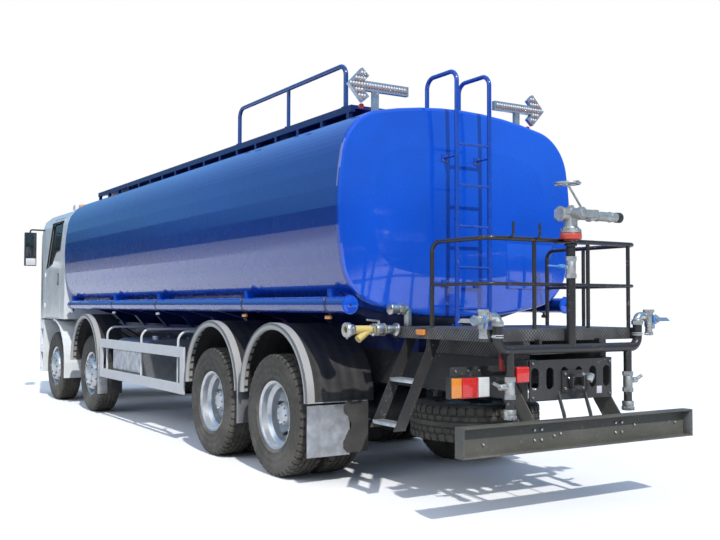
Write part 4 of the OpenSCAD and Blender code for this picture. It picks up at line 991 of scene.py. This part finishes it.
# %% Rear lamps
LAMP_X = wheel_x[0] - 2.150
housing = block((LAMP_X - 0.030, 0.626, 0.839), (LAMP_X + 0.024, 0.974, 0.991), 0.006)
bracket = [block((LAMP_X + 0.005, 0.427, 0.986), (LAMP_X + 0.011, 0.954, 1.058), 0.002),
           block((LAMP_X - 0.002, 0.66, 0.990), (LAMP_X + 0.011, 0.954, 1.058), 0.002),
           block((LAMP_X + 0.005, 0.426, 0.986), (LAMP_X + 0.060, 0.436, 1.058), 0.002)]
piece("lamp_housing", "chassis", "black_plastic", [housing], stands_for=("lamps",))
piece("lamp_bracket", "chassis", "chassis_black", bracket)


for color, y0, y1 in (("amber", 0.880, 0.968), ("red", 0.735, 0.879), ("clear", 0.632, 0.734)):
    face = block((LAMP_X - 0.044, y0 + 0.002, 0.846), (LAMP_X - 0.026, y1 - 0.002, 0.984), 0.004, 3)
    piece("lamp_" + color, "chassis", color + "_lens", [face])
FRAME_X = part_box("frame")[0][0]
square = [block((FRAME_X - 0.040, 0.430, 0.950), (FRAME_X - 0.006, 0.546, 1.062), 0.012, 3)]
piece("lamp_square", "chassis", "red_lens", square)
piece("lamp_square_back", "chassis", "black_plastic",
      [block((FRAME_X - 0.008, 0.425, 0.946), (FRAME_X - 0.001, 0.550, 1.066), 0.003)])
heads = bolts([(LAMP_X - 0.002, y, 1.030) for y in (0.700, 0.800, 0.910)], (-1, 0, 0), 0.009)
piece("lamp_bolts", "chassis", "bolt_steel", heads, 30.0)

# %% Side markers
MARKERS = [wheel_x[0] + d for d in (-0.850, 0.720, 3.090, 4.750, 6.800)]
markers, clear_markers, strips = [], [], []
for x in MARKERS:
    lamp = both_sides((x - 0.044, 1.160, 1.377), (x + 0.044, 1.187, 1.407), 0.009, 3)
    (clear_markers if x in MARKERS[2:] else markers).extend(lamp)
    strips += both_sides((x - 0.006, 1.146, 1.395), (x + 0.006, 1.166, 1.427), 0.002)
for y in (0.7405, -0.8245):
    markers.append(block((wheel_x[0] - 1.578, y, 1.262), (wheel_x[0] - 1.472, y + 0.0235, 1.306),
                         0.007, 3))
print(len(markers), "amber markers and", len(clear_markers), "clear ones")
piece("side_markers", "chassis", "amber_lens", markers)
piece("clear_markers", "chassis", "clear_lens", clear_markers)
piece("marker_strips", "chassis", "cover_black", strips)
print("lamps hung")

# %% [markdown]
# ## Arrow boards
#
# Each warning arrow is a thin polished box, its face set with rows of small round lamps. The
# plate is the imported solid. The lamps are low domes set wherever the arrow has room.

# %% Rows of small lamps on the arrows
ARROW_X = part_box("arrow_boards")[0][0]
ARROW = [(1.060, 3.285), (0.925, 3.425), (0.860, 3.365), (0.905, 3.320), (0.470, 3.320),
         (0.470, 3.240), (0.905, 3.240), (0.860, 3.195), (0.925, 3.140)]


def inside(y, z, margin):
    """Whether a point is inside the arrow and at least margin from its edge."""
    hits, near = False, 1.0
    for (y0, z0), (y1, z1) in zip(ARROW, ARROW[1:] + ARROW[:1]):
        if (z0 > z) != (z1 > z) and y < (y1 - y0) * (z - z0) / (z1 - z0) + y0:
            hits = not hits
        t = max(0.0, min(1.0, ((y - y0) * (y1 - y0) + (z - z0) * (z1 - z0))
                         / ((y1 - y0) ** 2 + (z1 - z0) ** 2)))
        near = min(near, math.hypot(y - y0 - t * (y1 - y0), z - z0 - t * (z1 - z0)))
    return hits and near > margin


LAMP_STEP, ROW_STEP, LAMP_ROOM = 0.0265, 0.0235, 0.0115
deselect()
bpy.ops.mesh.primitive_uv_sphere_add(segments=10, ring_count=6, radius=0.0122)
DOME = settle()
domes = {"red": [], "clear": []}
row = 0
z = 3.150
while z < 3.42:
    y = 0.480 + (0.012 if row % 2 else 0.0)
    while y < 1.05:
        if inside(y, z, LAMP_ROOM):
            kind = "red" if row % 2 else "clear"
            for sign in (1, -1):
                domes[kind].append(placed(DOME, shift(ARROW_X + 0.004, sign * y, z)))
        y += LAMP_STEP
    z += ROW_STEP
    row += 1
drop(DOME)
piece("arrow_lamps_red", "chassis", "smoke_lens", domes["red"], 60.0)
piece("arrow_lamps_clear", "chassis", "clear_lens", domes["clear"], 60.0)
beads = [bar((ARROW_X + 0.042, sign * 0.905, 3.120), (ARROW_X + 0.066, sign * 0.905, 3.120),
             0.022, 20, 0.004) for sign in (1, -1)]
piece("arrow_foot_lamps", "chassis", "red_lens", beads)
print("arrow lamps set")

# %% [markdown]
# ## Spray gear
#
# The pipes are black paint, and all that screws onto them is bare metal: elbows, ball valves
# and flat nozzles. One function makes a ball valve, because six of them differ only in size,
# place and where the lever points. It is a hexagon at each end, a round body, a stem and a
# strip lever with a coloured sleeve.

# %% A ball valve along a pipe
def ball_valve(center, along, lever, size, reach=None):
    """Body parts, and lever parts if it has a reach. along is the pipe, lever the stem's way."""
    center, along, lever = Vector(center), Vector(along).normalized(), Vector(lever).normalized()
    body = [bar(center - along * size * 1.9, center - along * size * 1.1, size * 1.02, 6, 0.002),
            bar(center + along * size * 1.1, center + along * size * 1.9, size * 1.02, 6, 0.002),
            bar(center - along * size * 1.15, center + along * size * 1.15, size * 0.86, 20, 0.004),
            bar(center, center + lever * size * 1.35, size * 0.34, 12, 0.001)]
    if reach is None:
        return body, []
    root = center + lever * size * 1.30
    sleeve = (root + along * reach * 0.35, root + along * (reach * 1.05))
    handle = [bar(root - along * size * 0.25, root + along * reach, size * 0.16, 8, 0.001),
              bar(*sleeve, size * 0.27, 10, 0.003)]
    return body, handle


PIPE_X = (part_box("spray_pipe")[0][0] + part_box("spray_pipe")[1][0]) / 2
PIPE_R, DROP_Y, END_Y = 0.0375, 0.590, 0.700


def upright(y, low, high, radius, sides=24, bevel=0.0):
    """A round or hexagonal fitting that stands on the spray pipe's line."""
    return bar((PIPE_X, y, low), (PIPE_X, y, high), radius, sides, bevel)


def sideways(y0, y1, z, radius, sides=24, bevel=0.0):
    """A fitting on the spray pipe's line that lies across the truck."""
    return bar((PIPE_X, y0, z), (PIPE_X, y1, z), radius, sides, bevel)


alloy, whites = ball_valve((PIPE_X, 0, 1.770), (0, 0, 1), (0.2, 1, 0), 0.042)[0], []
levers = [bar((PIPE_X - 0.004, 0.046, 1.772), (PIPE_X + 0.010, 0.215, 1.778), 0.0075, 8, 0.001),
          bar((PIPE_X, 0.060, 1.773), (PIPE_X + 0.004, 0.120, 1.775), 0.0170, 10, 0.003)]
for sign in (1, -1):
    # The low valve, its stem, and the nozzle's hexagon and collar.
    drop_y, end_y, tip_y = sign * DROP_Y, sign * END_Y, sign * (END_Y + 0.130)
    alloy += ball_valve((PIPE_X, drop_y, 0.915), (0, 0, 1), (0, sign, 0), 0.041)[0]
    stem = Vector((PIPE_X, sign * (DROP_Y + 0.045), 0.925))
    alloy += [bar(stem, stem + Vector((0, sign * 0.050, 0)), 0.022, 14, 0.003),
              bar(stem + Vector((0, sign * 0.048, 0.004)),
                  stem + Vector((-0.004, sign * 0.105, 0.03)), 0.013, 12, 0.003),
              upright(drop_y, 0.698, 0.726, 0.049, 6, 0.003),
              upright(drop_y, 0.728, 0.768, 0.044, 24, 0.003)]
    # Clamps on the ends of the bent pipe.
    whites += [upright(end_y, z - 0.003, z + 0.003, PIPE_R + 0.0035, 32) for z in (1.268, 1.283)]
    whites.append(bar((PIPE_X - 0.02, sign * (END_Y + 0.036), 1.2755),
                      (PIPE_X - 0.035, sign * (END_Y + 0.085), 1.2755), 0.003, 8))
    # The elbow's hexagons, the valve below it and the flat nozzle's throat.
    body, handle = ball_valve((PIPE_X, tip_y, 1.325), (0, 0, 1), (-1, sign * 0.4, 0), 0.033, 0.09)
    alloy += [upright(end_y, 1.347, 1.375, 0.046, 6, 0.002),
              upright(end_y, 1.376, 1.386, 0.041, 24, 0.002),
              sideways(sign * (END_Y + 0.080), sign * (END_Y + 0.096), 1.412, 0.043, 6, 0.002),
              upright(tip_y, 1.440, 1.462, 0.043, 6, 0.003),
              *body,
              upright(tip_y, 1.262, 1.292, 0.022, 18, 0.004),
              sideways(sign * (END_Y + 0.160), sign * (END_Y + 0.205), 1.386, 0.034, 20, 0.006),
              sideways(sign * (END_Y + 0.200), sign * (END_Y + 0.215), 1.386, 0.038, 6, 0.002)]
    levers += handle
piece("spray_valves", "chassis", "cast_alloy", alloy)
piece("valve_levers", "chassis", "lever_blue", levers)
piece("pipe_clamps", "chassis", "guard_white", whites)
print("spray valves fitted")

# %% The riser's flange, and the monitor
RISER_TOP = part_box("spray_pipe")[1][2]
flange = [upright(0, RISER_TOP - 0.048, RISER_TOP - 0.002, 0.0800, 40, 0.006),
          upright(0, RISER_TOP - 0.060, RISER_TOP - 0.046, 0.052, 30, 0.003)]
piece("riser_flange", "chassis", "coral", flange)
plate = [upright(0, 1.945, 1.957, 0.062, 30, 0.003),
         block((PIPE_X - 0.030, -0.16, 1.942), (PIPE_X + 0.035, 0.13, 1.950), 0.003),
         upright(0, 1.925, 1.946, 0.046, 24, 0.002)]
piece("riser_plate", "chassis", "rail_black", plate)
MON_Z = 2.160                      # the barrel's line
ring_bolts = bolts([(x, y, RISER_TOP + 0.022) for x, y in ring_of(8, 0.064, (PIPE_X, 0))],
                   (0, 0, 1), 0.0085)
head = [upright(0, RISER_TOP + 0.024, RISER_TOP + 0.044, 0.0600, 36, 0.005),
        sideways(0.098, 0.112, MON_Z, 0.055, 32, 0.004),
        sideways(0.114, 0.119, MON_Z, 0.036, 24, 0.002),
        bar((PIPE_X - 0.002, 0, MON_Z + 0.045), (PIPE_X - 0.002, 0, MON_Z + 0.066),
            0.024, 6, 0.003)]
cap_bolts = bolts([(x, 0.112, z) for x, z in ring_of(6, 0.045, (PIPE_X, MON_Z), 0.5)],
                  (0, 1, 0), 0.0075)
turning = body_of(nodes["monitor_swivel"])[0]
gun = body_of(nodes["monitor_barrel"])[0]
piece("monitor_head_rings", turning, "cast_alloy", head + ring_bolts + cap_bolts)
barrel = [sideways(-0.178, -0.205, MON_Z, 0.046, 32, 0.005),
          sideways(-0.262, -0.276, MON_Z, 0.0405, 32, 0.003),
          sideways(-0.400, -0.414, MON_Z, 0.0405, 32, 0.003)]
for out in (-1, 1):
    x = PIPE_X + out * 0.1255
    barrel.append(bar((x, 0, MON_Z), (x + out * 0.007, 0, MON_Z), 0.030, 24, 0.002))
piece("monitor_barrel_rings", gun, "cast_alloy", barrel)
piece("monitor_tip", gun, "black_plastic", [sideways(-0.470, -0.519, MON_Z, 0.0395, 32, 0.004)])
wheel_at = Vector((PIPE_X, 0.030, MON_Z + 0.225))
spokes = [bar(wheel_at - arm, wheel_at + arm, 0.0055, 8)
          for arm in (Vector((0.085, 0, 0)), Vector((0, 0.085, 0)))]
boss = Vector((0, 0, 0.012))
spokes.append(bar(wheel_at - boss, wheel_at + boss, 0.018, 16, 0.003))
deselect()
bpy.ops.mesh.primitive_torus_add(major_radius=0.092, minor_radius=0.0085, major_segments=40,
                                 minor_segments=10, location=wheel_at)
spokes.append(settle())
piece("monitor_handwheel", gun, "plated", spokes, 50.0)
print("monitor dressed")

# %% The hydrant: a strainer's yellow body, a valve and a ring whose mouth holds a dark plug of painted shade
HX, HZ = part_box("hydrant")[1][0] - 0.055, 1.300


def along_hydrant(y0, y1, radius, sides=32, bevel=0.003):
    return bar((HX, y0, HZ), (HX, y1, HZ), radius, sides, bevel)


ring = turned([(0.0275, 1.228), (0.0555, 1.228), (0.0585, 1.223), (0.0585, 1.196),
               (0.0555, 1.192), (0.0275, 1.192)], 40)
lugs = [bar((x0, 1.209, z0), (x1, 1.209, z1), 0.010, 12, 0.003)
        for (x0, z0), (x1, z1) in zip(ring_of(3, 0.058, (HX, HZ), 0.25),
                                      ring_of(3, 0.070, (HX, HZ), 0.25))]
hyd = [placed(ring, shift(HX, 0, HZ)), *lugs,
       along_hydrant(0.745, 0.765, 0.052, 24), along_hydrant(0.766, 0.861, 0.0345, 32, 0.001),
       along_hydrant(0.881, 0.959, 0.0495, 32, 0.006),
       along_hydrant(1.173, 1.191, 0.0345, 32, 0.001),
       along_hydrant(0.862, 0.880, 0.051, 6), along_hydrant(0.960, 0.978, 0.051, 6),
       along_hydrant(0.985, 1.000, 0.042, 6), along_hydrant(1.150, 1.172, 0.043, 6)]
drop(ring)
piece("hydrant_fittings", "chassis", "plated", hyd)
# A black plug deep in the ring's bore is painted shade for the inside of the open mouth.
piece("hydrant_bore_shade", "chassis", "black_plastic", [along_hydrant(1.05, 1.206, 0.0252, 24, 0.0)])
hyd_lever = [bar((HX, 0.920, HZ + 0.046), (HX, 0.920, HZ + 0.066), 0.012, 12, 0.002),
             bar((HX, 0.915, HZ + 0.066), (HX - 0.02, 1.045, HZ + 0.078), 0.008, 10, 0.002)]
piece("hydrant_lever", "chassis", "plated", hyd_lever)
print("hydrant dressed")

# %% [markdown]
# ## The tail of the chassis
#
# The underrun bar is a welded channel with bolt groups where its legs meet it. The end plate
# carries a flanged tow jaw with a bare steel pin, and a blank white plate. Flanges on the legs
# and a row of bolts show how each is fastened.

# %% Bar, legs and end plate
BAR_Z, BAR_H, BAR_X = 0.485, 0.205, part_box("underrun_bar")[0][0] + 0.092
rows = [(y + dy, z) for y in (0.408, -0.394) for dy in (-0.033, 0.033) for z in (0.555, 0.625)]
rows += [(0.195, 0.586), (0.900, 0.560), (-1.020, 0.590), (-0.560, 0.600), (0.255, 0.575)]
bar_heads = bolts([(BAR_X - 0.0085, y, z) for y, z in rows], (-1, 0, 0), 0.0095)
piece("bar_bolts", "chassis", "plated", bar_heads, 30.0)
end_plates = both_sides((BAR_X - 0.0919, 1.1205, BAR_Z + 0.0005),
                        (BAR_X - 0.0005, 1.1289, BAR_Z + BAR_H - 0.0005), 0.002)
bar_lips = [block((BAR_X - 0.0862, -1.119, BAR_Z + z0), (BAR_X - 0.082, 1.119, BAR_Z + z1), 0.002)
            for z0, z1 in ((0.0002, 0.0125), (BAR_H - 0.0125, BAR_H - 0.0002))]
piece("bar_end_plates", "chassis", "strip_grey", end_plates)
piece("bar_lips", "chassis", "bar_olive", bar_lips)
LEG_OUT = 0.4365                   # the legs' outer faces
leg_faces, leg_bolts = [], []
for sign in (1, -1):
    foot = Vector((BAR_X + 0.088, sign * 0.433, BAR_Z + 0.062))
    head = Vector((FRAME_X + 0.326, sign * 0.433, 0.9625))
    run = (head - foot).normalized()
    flange = block((-0.003, -0.026, 0.0), (0.003, 0.026, (head - foot).length * 0.93), 0.001)
    turn = run.to_track_quat("Z", "Y").to_matrix().to_4x4()
    corner = foot + Vector((-0.024, sign * 0.022, 0))
    leg_faces.append(placed(flange, Matrix.Translation(corner) @ turn))
    drop(flange)
    leg_bolts += bolts([(BAR_X + 0.02, sign * LEG_OUT, z) for z in (0.60, 0.66)],
                       (0, sign, 0), 0.009)
    leg_bolts += bolts([(FRAME_X + x, sign * LEG_OUT, 0.93) for x in (0.17, 0.25)],
                       (0, sign, 0), 0.011)
piece("leg_flanges", "chassis", "chassis_black", leg_faces)
piece("leg_bolts", "chassis", "bolt_steel", leg_bolts, 30.0)
print("underrun bar:", len(rows), "bolts in its web and", len(leg_bolts), "in its legs")

# %% End plate and tow jaw
plate_bolts = []
for depth, y, heights, size in ((0.0125, 0.385, (0.838, 1.078), 0.010),
                                (0.0305, 0.090, (0.893, 0.997), 0.011)):
    plate_bolts += bolts([(FRAME_X - depth, side, z) for side in (y, -y) for z in heights],
                         (-1, 0, 0), size)
piece("end_plate_bolts", "chassis", "bolt_steel", plate_bolts, 30.0)
cheeks = both_sides((FRAME_X - 0.085, 0.050, 0.905), (FRAME_X - 0.030, 0.062, 0.985), 0.004)
piece("jaw_cheeks", "chassis", "chassis_black", cheeks)
knob = [bar((FRAME_X - 0.055, -0.055, 0.992), (FRAME_X - 0.055, -0.150, 0.980), 0.011, 14, 0.002),
        bar((FRAME_X - 0.058, -0.105, 0.975), (FRAME_X - 0.100, -0.128, 0.962), 0.034, 6, 0.006),
        bar((FRAME_X - 0.040, 0.065, 0.965), (FRAME_X - 0.052, 0.012, 0.983), 0.012, 14, 0.002)]
piece("jaw_release", "chassis", "plated", knob, 40.0)
blank = block((FRAME_X - 0.0150, -0.305, 0.842), (FRAME_X - 0.0125, -0.252, 0.896), 0.001)
piece("blank_plate", "chassis", "guard_white", [blank])
hanger = [block((PIPE_X + 0.020, 0.628, 1.040), (PIPE_X + 0.034, 0.664, 1.205), 0.003),
          block((PIPE_X + 0.020, 0.560, 1.036), (PIPE_X + 0.034, 0.650, 1.048), 0.002)]
piece("lamp_hanger", "chassis", "dark_red", hanger)
strip = [block((LAMP_X - 0.034, 0.640, 0.8405), (LAMP_X - 0.026, 0.900, 0.8455), 0.001)]
piece("lamp_reflector", "chassis", "red_lens", strip)
print("tail dressed")

# %% Steps: light worn edges and grip bars on the treads
step_low, step_high = (Vector(c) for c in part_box("deck_steps"))
tread_edges, grip = [], []
FOOT_Y, FOOT_Z, TOP_Y, TOP_Z = 1.065, 0.560, 0.7345, 1.222      # the cheeks' front edge
slope = (FOOT_Y - TOP_Y) / (TOP_Z - FOOT_Z)
for z in (0.590, 0.905):
    outer = FOOT_Y - (z - FOOT_Z) * slope - 0.015
    tread_edges.append(block((step_low.x + 0.002, outer - 0.002, z - 0.001),
                             (step_high.x - 0.002, outer + 0.008, z + 0.029), 0.002))
    for i in range(9):
        x = step_low.x + 0.036 + 0.031 * i
        grip.append(block((x - 0.004, outer - 0.080, z + 0.027),
                          (x + 0.004, outer - 0.006, z + 0.0305), 0.001))
piece("tread_edges", "chassis", "aluminium", tread_edges)
piece("tread_grips", "chassis", "strip_grey", grip)

# %% [markdown]
# ## Tank trim
#
# The rear face is a flat dish with a rolled edge. It has a small pressed panel low on the
# right and four pads where the ladder bolts on. The hose tubes have round lids with a centre
# bolt, and straps where they are clamped.

# %% Panel, ladder lugs, tube lids and straps
HEAD_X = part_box("tank")[0][0]
panel = block((HEAD_X - 0.004, -0.990, 1.640), (HEAD_X + 0.02, -0.460, 2.030), 0.0035, 3)
piece("head_panel", "chassis", "tank_blue", [panel])
TUBE_Y, TUBE_Z, TUBE_R = 1.148, 1.494, 0.067
tube_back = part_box("hose_tubes")[0][0]
lids, knobs, straps, strap_bolts = [], [], [], []
for sign in (1, -1):
    at = Vector((tube_back, sign * TUBE_Y, TUBE_Z))
    lids.append(bar(at + Vector((-0.004, 0, 0)), at + Vector((0.004, 0, 0)), 0.064, 40, 0.003))
    knobs.append(bar(at + Vector((-0.014, 0, 0)), at + Vector((-0.003, 0, 0)), 0.009, 6, 0.002))
    knobs.append(bar(at + Vector((0.001, 0, 0.070)), at + Vector((0.030, 0, 0.070)),
                     0.010, 12, 0.002))
    for x in MARKERS:
        straps.append(bar((x - 0.019, sign * TUBE_Y, TUBE_Z), (x + 0.019, sign * TUBE_Y, TUBE_Z),
                          TUBE_R + 0.003, 48, 0.001))
        strap_bolts += bolts([(x, sign * (TUBE_Y + 0.060), TUBE_Z + 0.040)], (0, sign, 0.7), 0.009)
piece("tube_lids", "chassis", "tank_blue", lids)
piece("tube_lid_knobs", "chassis", "navy", knobs, 30.0)
piece("tube_straps", "chassis", "navy", straps)
piece("strap_bolts", "chassis", "bolt_steel", strap_bolts, 30.0)

# %% Feet and bolts of the rear ladder
ladder_low, ladder_high = (Vector(c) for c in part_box("rear_ladder"))
RAIL_HALF = 0.0205                 # half the width of a ladder rail
rail_x, foot_z = ladder_low.x + RAIL_HALF, ladder_low.z
feet, foot_bolts = [], []
for y in (ladder_low.y + RAIL_HALF, ladder_high.y - RAIL_HALF):
    feet.append(block((rail_x - 0.035, y - 0.035, foot_z),
                      (rail_x + 0.035, y + 0.035, foot_z + 0.008), 0.002))
    foot_bolts += bolts([(rail_x + d, y + d, foot_z + 0.008) for d in (-0.024, 0.024)],
                        (0, 0, 1), 0.006)
    for z in (foot_z + 0.350, foot_z + 1.400):
        feet.append(block((HEAD_X - 0.0065, y - 0.032, z - 0.032),
                          (HEAD_X + 0.002, y + 0.032, z + 0.032), 0.003))
        foot_bolts += bolts([(HEAD_X - 0.006, y + d, z - d) for d in (-0.020, 0.020)],
                            (-1, 0, 0), 0.006)
piece("ladder_pads", "chassis", "trim_blue", feet)
piece("ladder_bolts", "chassis", "bolt_steel", foot_bolts, 30.0)

# %% A steel outlet on the tank's foot, above the hydrant
OUT = Vector((HX + 0.02, 0.690, 1.462))
outlet = [bar(OUT + Vector((0, -0.02, 0)), OUT + Vector((0, 0.030, 0)), 0.047, 6, 0.003),
          bar(OUT + Vector((0, 0.028, 0)), OUT + Vector((0, 0.090, 0)), 0.038, 24, 0.004),
          bar(OUT + Vector((0, 0.088, 0)), OUT + Vector((0, 0.116, 0)), 0.047, 24, 0.004),
          bar(OUT + Vector((0, -0.06, 0)), OUT + Vector((0, -0.018, 0)), 0.030, 20, 0.002),
          bar(OUT + Vector((0, -0.06, 0.0)), OUT + Vector((0.0, -0.06, -0.139)), 0.030, 20, 0.002)]
piece("outlet_coupling", "chassis", "plated", outlet)
print("tank trimmed")

# %% [markdown]
# ## Cab
#
# From behind, the cab shows a dark window band, a recessed door handle and the amber beacon.
# The front, which few views show, gets lamps, a grille, a visor and wipers.

# %% Window frames, handles and the mirrors' faces
CAB_SIDE, LEAN_FROM, LEAN = 1.220, 2.050, 0.060 / 0.710
WINDOW = [(4.155, 2.805), (4.185, 2.355), (4.410, 2.330), (4.600, 2.150), (4.925, 2.090),
          (4.785, 2.805)]


def on_side(sign, x, z, out=0.0):
    """A point on the cab's side, which leans in above the doors' waist."""
    return Vector((x, sign * (CAB_SIDE + out - max(0.0, z - LEAN_FROM) * LEAN), z))


for sign, side_name in ((1, "left"), (-1, "right")):
    door = body_of(nodes["door_" + side_name])[0]
    corners = [on_side(sign, x, z, -0.005) for x, z in WINDOW]
    seal = [bar(a, b, 0.014, 12) for a, b in zip(corners, corners[1:] + corners[:1])]
    piece("window_seal_" + side_name, door, "seal_rubber", seal, 50.0)
    y0, y1 = sorted((sign * 1.205, sign * 1.2235))
    piece("handle_slot_" + side_name, door, "black_plastic",
          [block((4.150, y0, 1.800), (4.262, y1, 1.990), 0.010, 3)])
    piece("door_handle_" + side_name, door, "grey_plastic",
          [bar((4.190, sign * 1.2235, 1.820), (4.212, sign * 1.2235, 1.970), 0.007, 12, 0.002)])

cab = body_of(nodes["cab_shell"])[0]
mirror_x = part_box("mirrors")[0][0]
glasses = both_sides((mirror_x - 0.002, 1.322, 2.300), (mirror_x + 0.004, 1.478, 2.678), 0.001)
lowers = both_sides((mirror_x - 0.003, 1.322, 2.150), (mirror_x + 0.004, 1.478, 2.262))
mirror_body = body_of(nodes["mirrors"])[0]
piece("mirror_glass", mirror_body, "cab_glass", glasses)
piece("mirror_lower", mirror_body, "guard_white", lowers)
print("doors and mirrors dressed")

# %% Beacon bar: clear ends, an amber middle and a black tray
beacon_low, beacon_high = (Vector(c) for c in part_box("beacon_bar"))
beacon_body = body_of(nodes["beacon_bar"])[0]
tray_z = beacon_high.z - 0.122


def beacon_block(inset, y0, y1, z0, z1, bevel, segments=2):
    """A block as deep as the beacon bar, less an inset at the front and the back."""
    return block((beacon_low.x + inset, y0, z0), (beacon_high.x - inset, y1, z1), bevel, segments)


tray = [beacon_block(0.01, -0.845, 0.845, tray_z - 0.012, tray_z + 0.014, 0.005),
        *[beacon_block(0.04, y - 0.045, y + 0.045, beacon_low.z + 0.0003, tray_z, 0.004)
          for y in (0.595, -0.595)]]
piece("beacon_tray", beacon_body, "black_plastic", tray, stands_for=("beacon_bar",))
piece("beacon_amber", beacon_body, "amber_lens",
      [beacon_block(0.004, -0.775, 0.775, tray_z + 0.012, beacon_high.z, 0.034, 5)])
piece("beacon_ends", beacon_body, "clear_lens",
      [beacon_block(0.006, y0, y1, tray_z + 0.012, beacon_high.z - 0.003, 0.030, 5)
       for y0, y1 in ((0.780, 0.850), (-0.850, -0.780))])
print("beacon dressed")

# %% Front: grille, lamps, visor and wipers
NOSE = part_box("cab_shell")[1][0]
grille = [block((NOSE - 0.006, -0.620, z), (NOSE + 0.006, 0.620, z + 0.030), 0.004)
          for z in (1.02, 1.10, 1.18, 1.26, 1.34)]
grille.append(block((NOSE - 0.010, -0.66, 0.985), (NOSE + 0.0015, 0.66, 1.405), 0.004))
piece("grille", cab, "black_plastic", grille)
surrounds = both_sides((NOSE - 0.010, 0.508, 0.900), (NOSE + 0.004, 0.797, 0.984), 0.004)
lamps = both_sides((NOSE - 0.004, 0.520, 0.906), (NOSE + 0.015, 0.785, 0.978), 0.008, 3)
piece("headlamps", cab, "clear_lens", lamps)
piece("headlamp_surrounds", cab, "black_plastic", surrounds)
visor = [block((5.440, -0.900, 2.672), (5.625, 0.900, 2.690), 0.004),
         *[bar((5.47, y, 2.63), (5.47, y, 2.675), 0.012, 12) for y in (0.7, 0.0, -0.7)]]
piece("visor", cab, "cab_glass", visor)
wipers = []
for y in (0.62, -0.08):
    wipers += [bar((5.790, y, 1.772), (5.728, y - 0.46, 1.955), 0.006, 10),
               bar((5.752, y - 0.20, 1.868), (5.664, y - 0.62, 2.135), 0.005, 8),
               bar((5.772, y, 1.772), (5.797, y, 1.772), 0.014, 14, 0.002)]
piece("wipers", cab, "black_plastic", wipers)
print("front dressed")

# %% Finish: drop the bolt pattern and clear the selection
drop(BOLT)
deselect()
